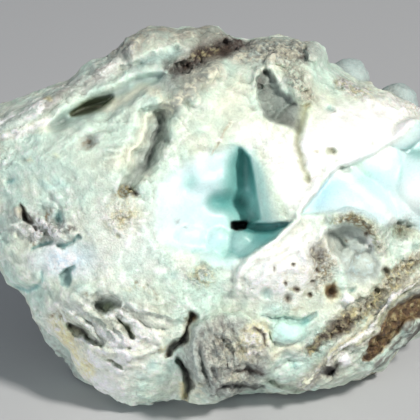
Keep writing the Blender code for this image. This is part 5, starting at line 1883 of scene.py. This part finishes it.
@dataclass
class Studio:
    """The pale floor, the soft lights and the camera."""

    sight: float = 0.7
    framed: float = 0.084
    tip_back: float = 30.0
    look_at: tuple[float, float, float] = (-0.0014, -0.0015, 0.0343)
    floor_size: float = 3.0
    floor_tone: str = "b9bbbd"
    sky_tone: str = "dfe6ee"
    sky_strength: float = 0.28
    boxes: tuple[Softbox, ...] = (
        Softbox("key", (0.36, 0.30, 0.59), 0.1, 5.7, "fffaf4"),
        Softbox("fill", (-0.44, -0.26, 0.5), 0.5, 3.2, "f4f7ff"),
    )

    def floor(self) -> None:
        """Lays a plain pale floor."""
        shape = bmesh.new()
        bmesh.ops.create_grid(shape, x_segments=1, y_segments=1, size=self.floor_size)
        mesh = bpy.data.meshes.new("floor")
        shape.to_mesh(mesh)
        shape.free()
        piece = linked("floor", mesh)
        material = bpy.data.materials.new("pale_paper")
        material.use_nodes = True
        shader = material.node_tree.nodes["Principled BSDF"]
        shader.inputs["Base Color"].default_value = (*linear(self.floor_tone), 1.0)
        shader.inputs["Roughness"].default_value = 0.9
        mesh.materials.append(material)

    def view_turn(self) -> Quaternion:
        """The turn that takes the viewer's right, up and towards to the world's axes."""
        tip = math.radians(self.tip_back)
        return Vector((0.0, math.cos(tip), -math.sin(tip))).to_track_quat("-Z", "Y")

    def lights(self) -> None:
        """Hangs a key light at the upper right, a weak fill at the left and a soft sky."""
        for box in self.boxes:
            box.hang(Vector(self.look_at), self.view_turn())
        world = bpy.data.worlds.new("studio")
        world.use_nodes = True
        sky = world.node_tree.nodes["Background"]
        sky.inputs["Color"].default_value = (*linear(self.sky_tone), 1.0)
        sky.inputs["Strength"].default_value = self.sky_strength
        bpy.context.scene.world = world

    def camera(self) -> None:
        """Sets the camera at the viewer's eye, looking at the middle of the face."""
        lens = bpy.data.cameras.new("viewer")
        lens.sensor_width = 36.0
        lens.lens = 18.0 / (self.framed / 2.0 / self.sight)
        eye = bpy.data.objects.new("viewer", lens)
        turn = self.view_turn()
        eye.location = Vector(self.look_at) + turn @ Vector((0.0, 0.0, self.sight))
        eye.rotation_mode = "QUATERNION"
        eye.rotation_quaternion = turn
        bpy.context.scene.collection.objects.link(eye)
        bpy.context.scene.camera = eye

    def build(self) -> None:
        """Sets up the floor, the lights, the camera and the picture's tone."""
        self.floor()
        self.lights()
        self.camera()
        bpy.context.scene.view_settings.view_transform = "Standard"
        bpy.context.scene.view_settings.look = "None"


def main() -> None:
    """Builds the stone, dresses it and sets up the studio."""
    logging.basicConfig(level=logging.INFO, format="%(message)s")
    stone = Stone()
    piece = stone.build()
    stone.dress(piece)
    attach(piece, "root")
    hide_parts("hemimorphite")
    log.info("stone dressed: %d points", len(piece.data.vertices))
    Studio().build()


if __name__ == "__main__":
    main()
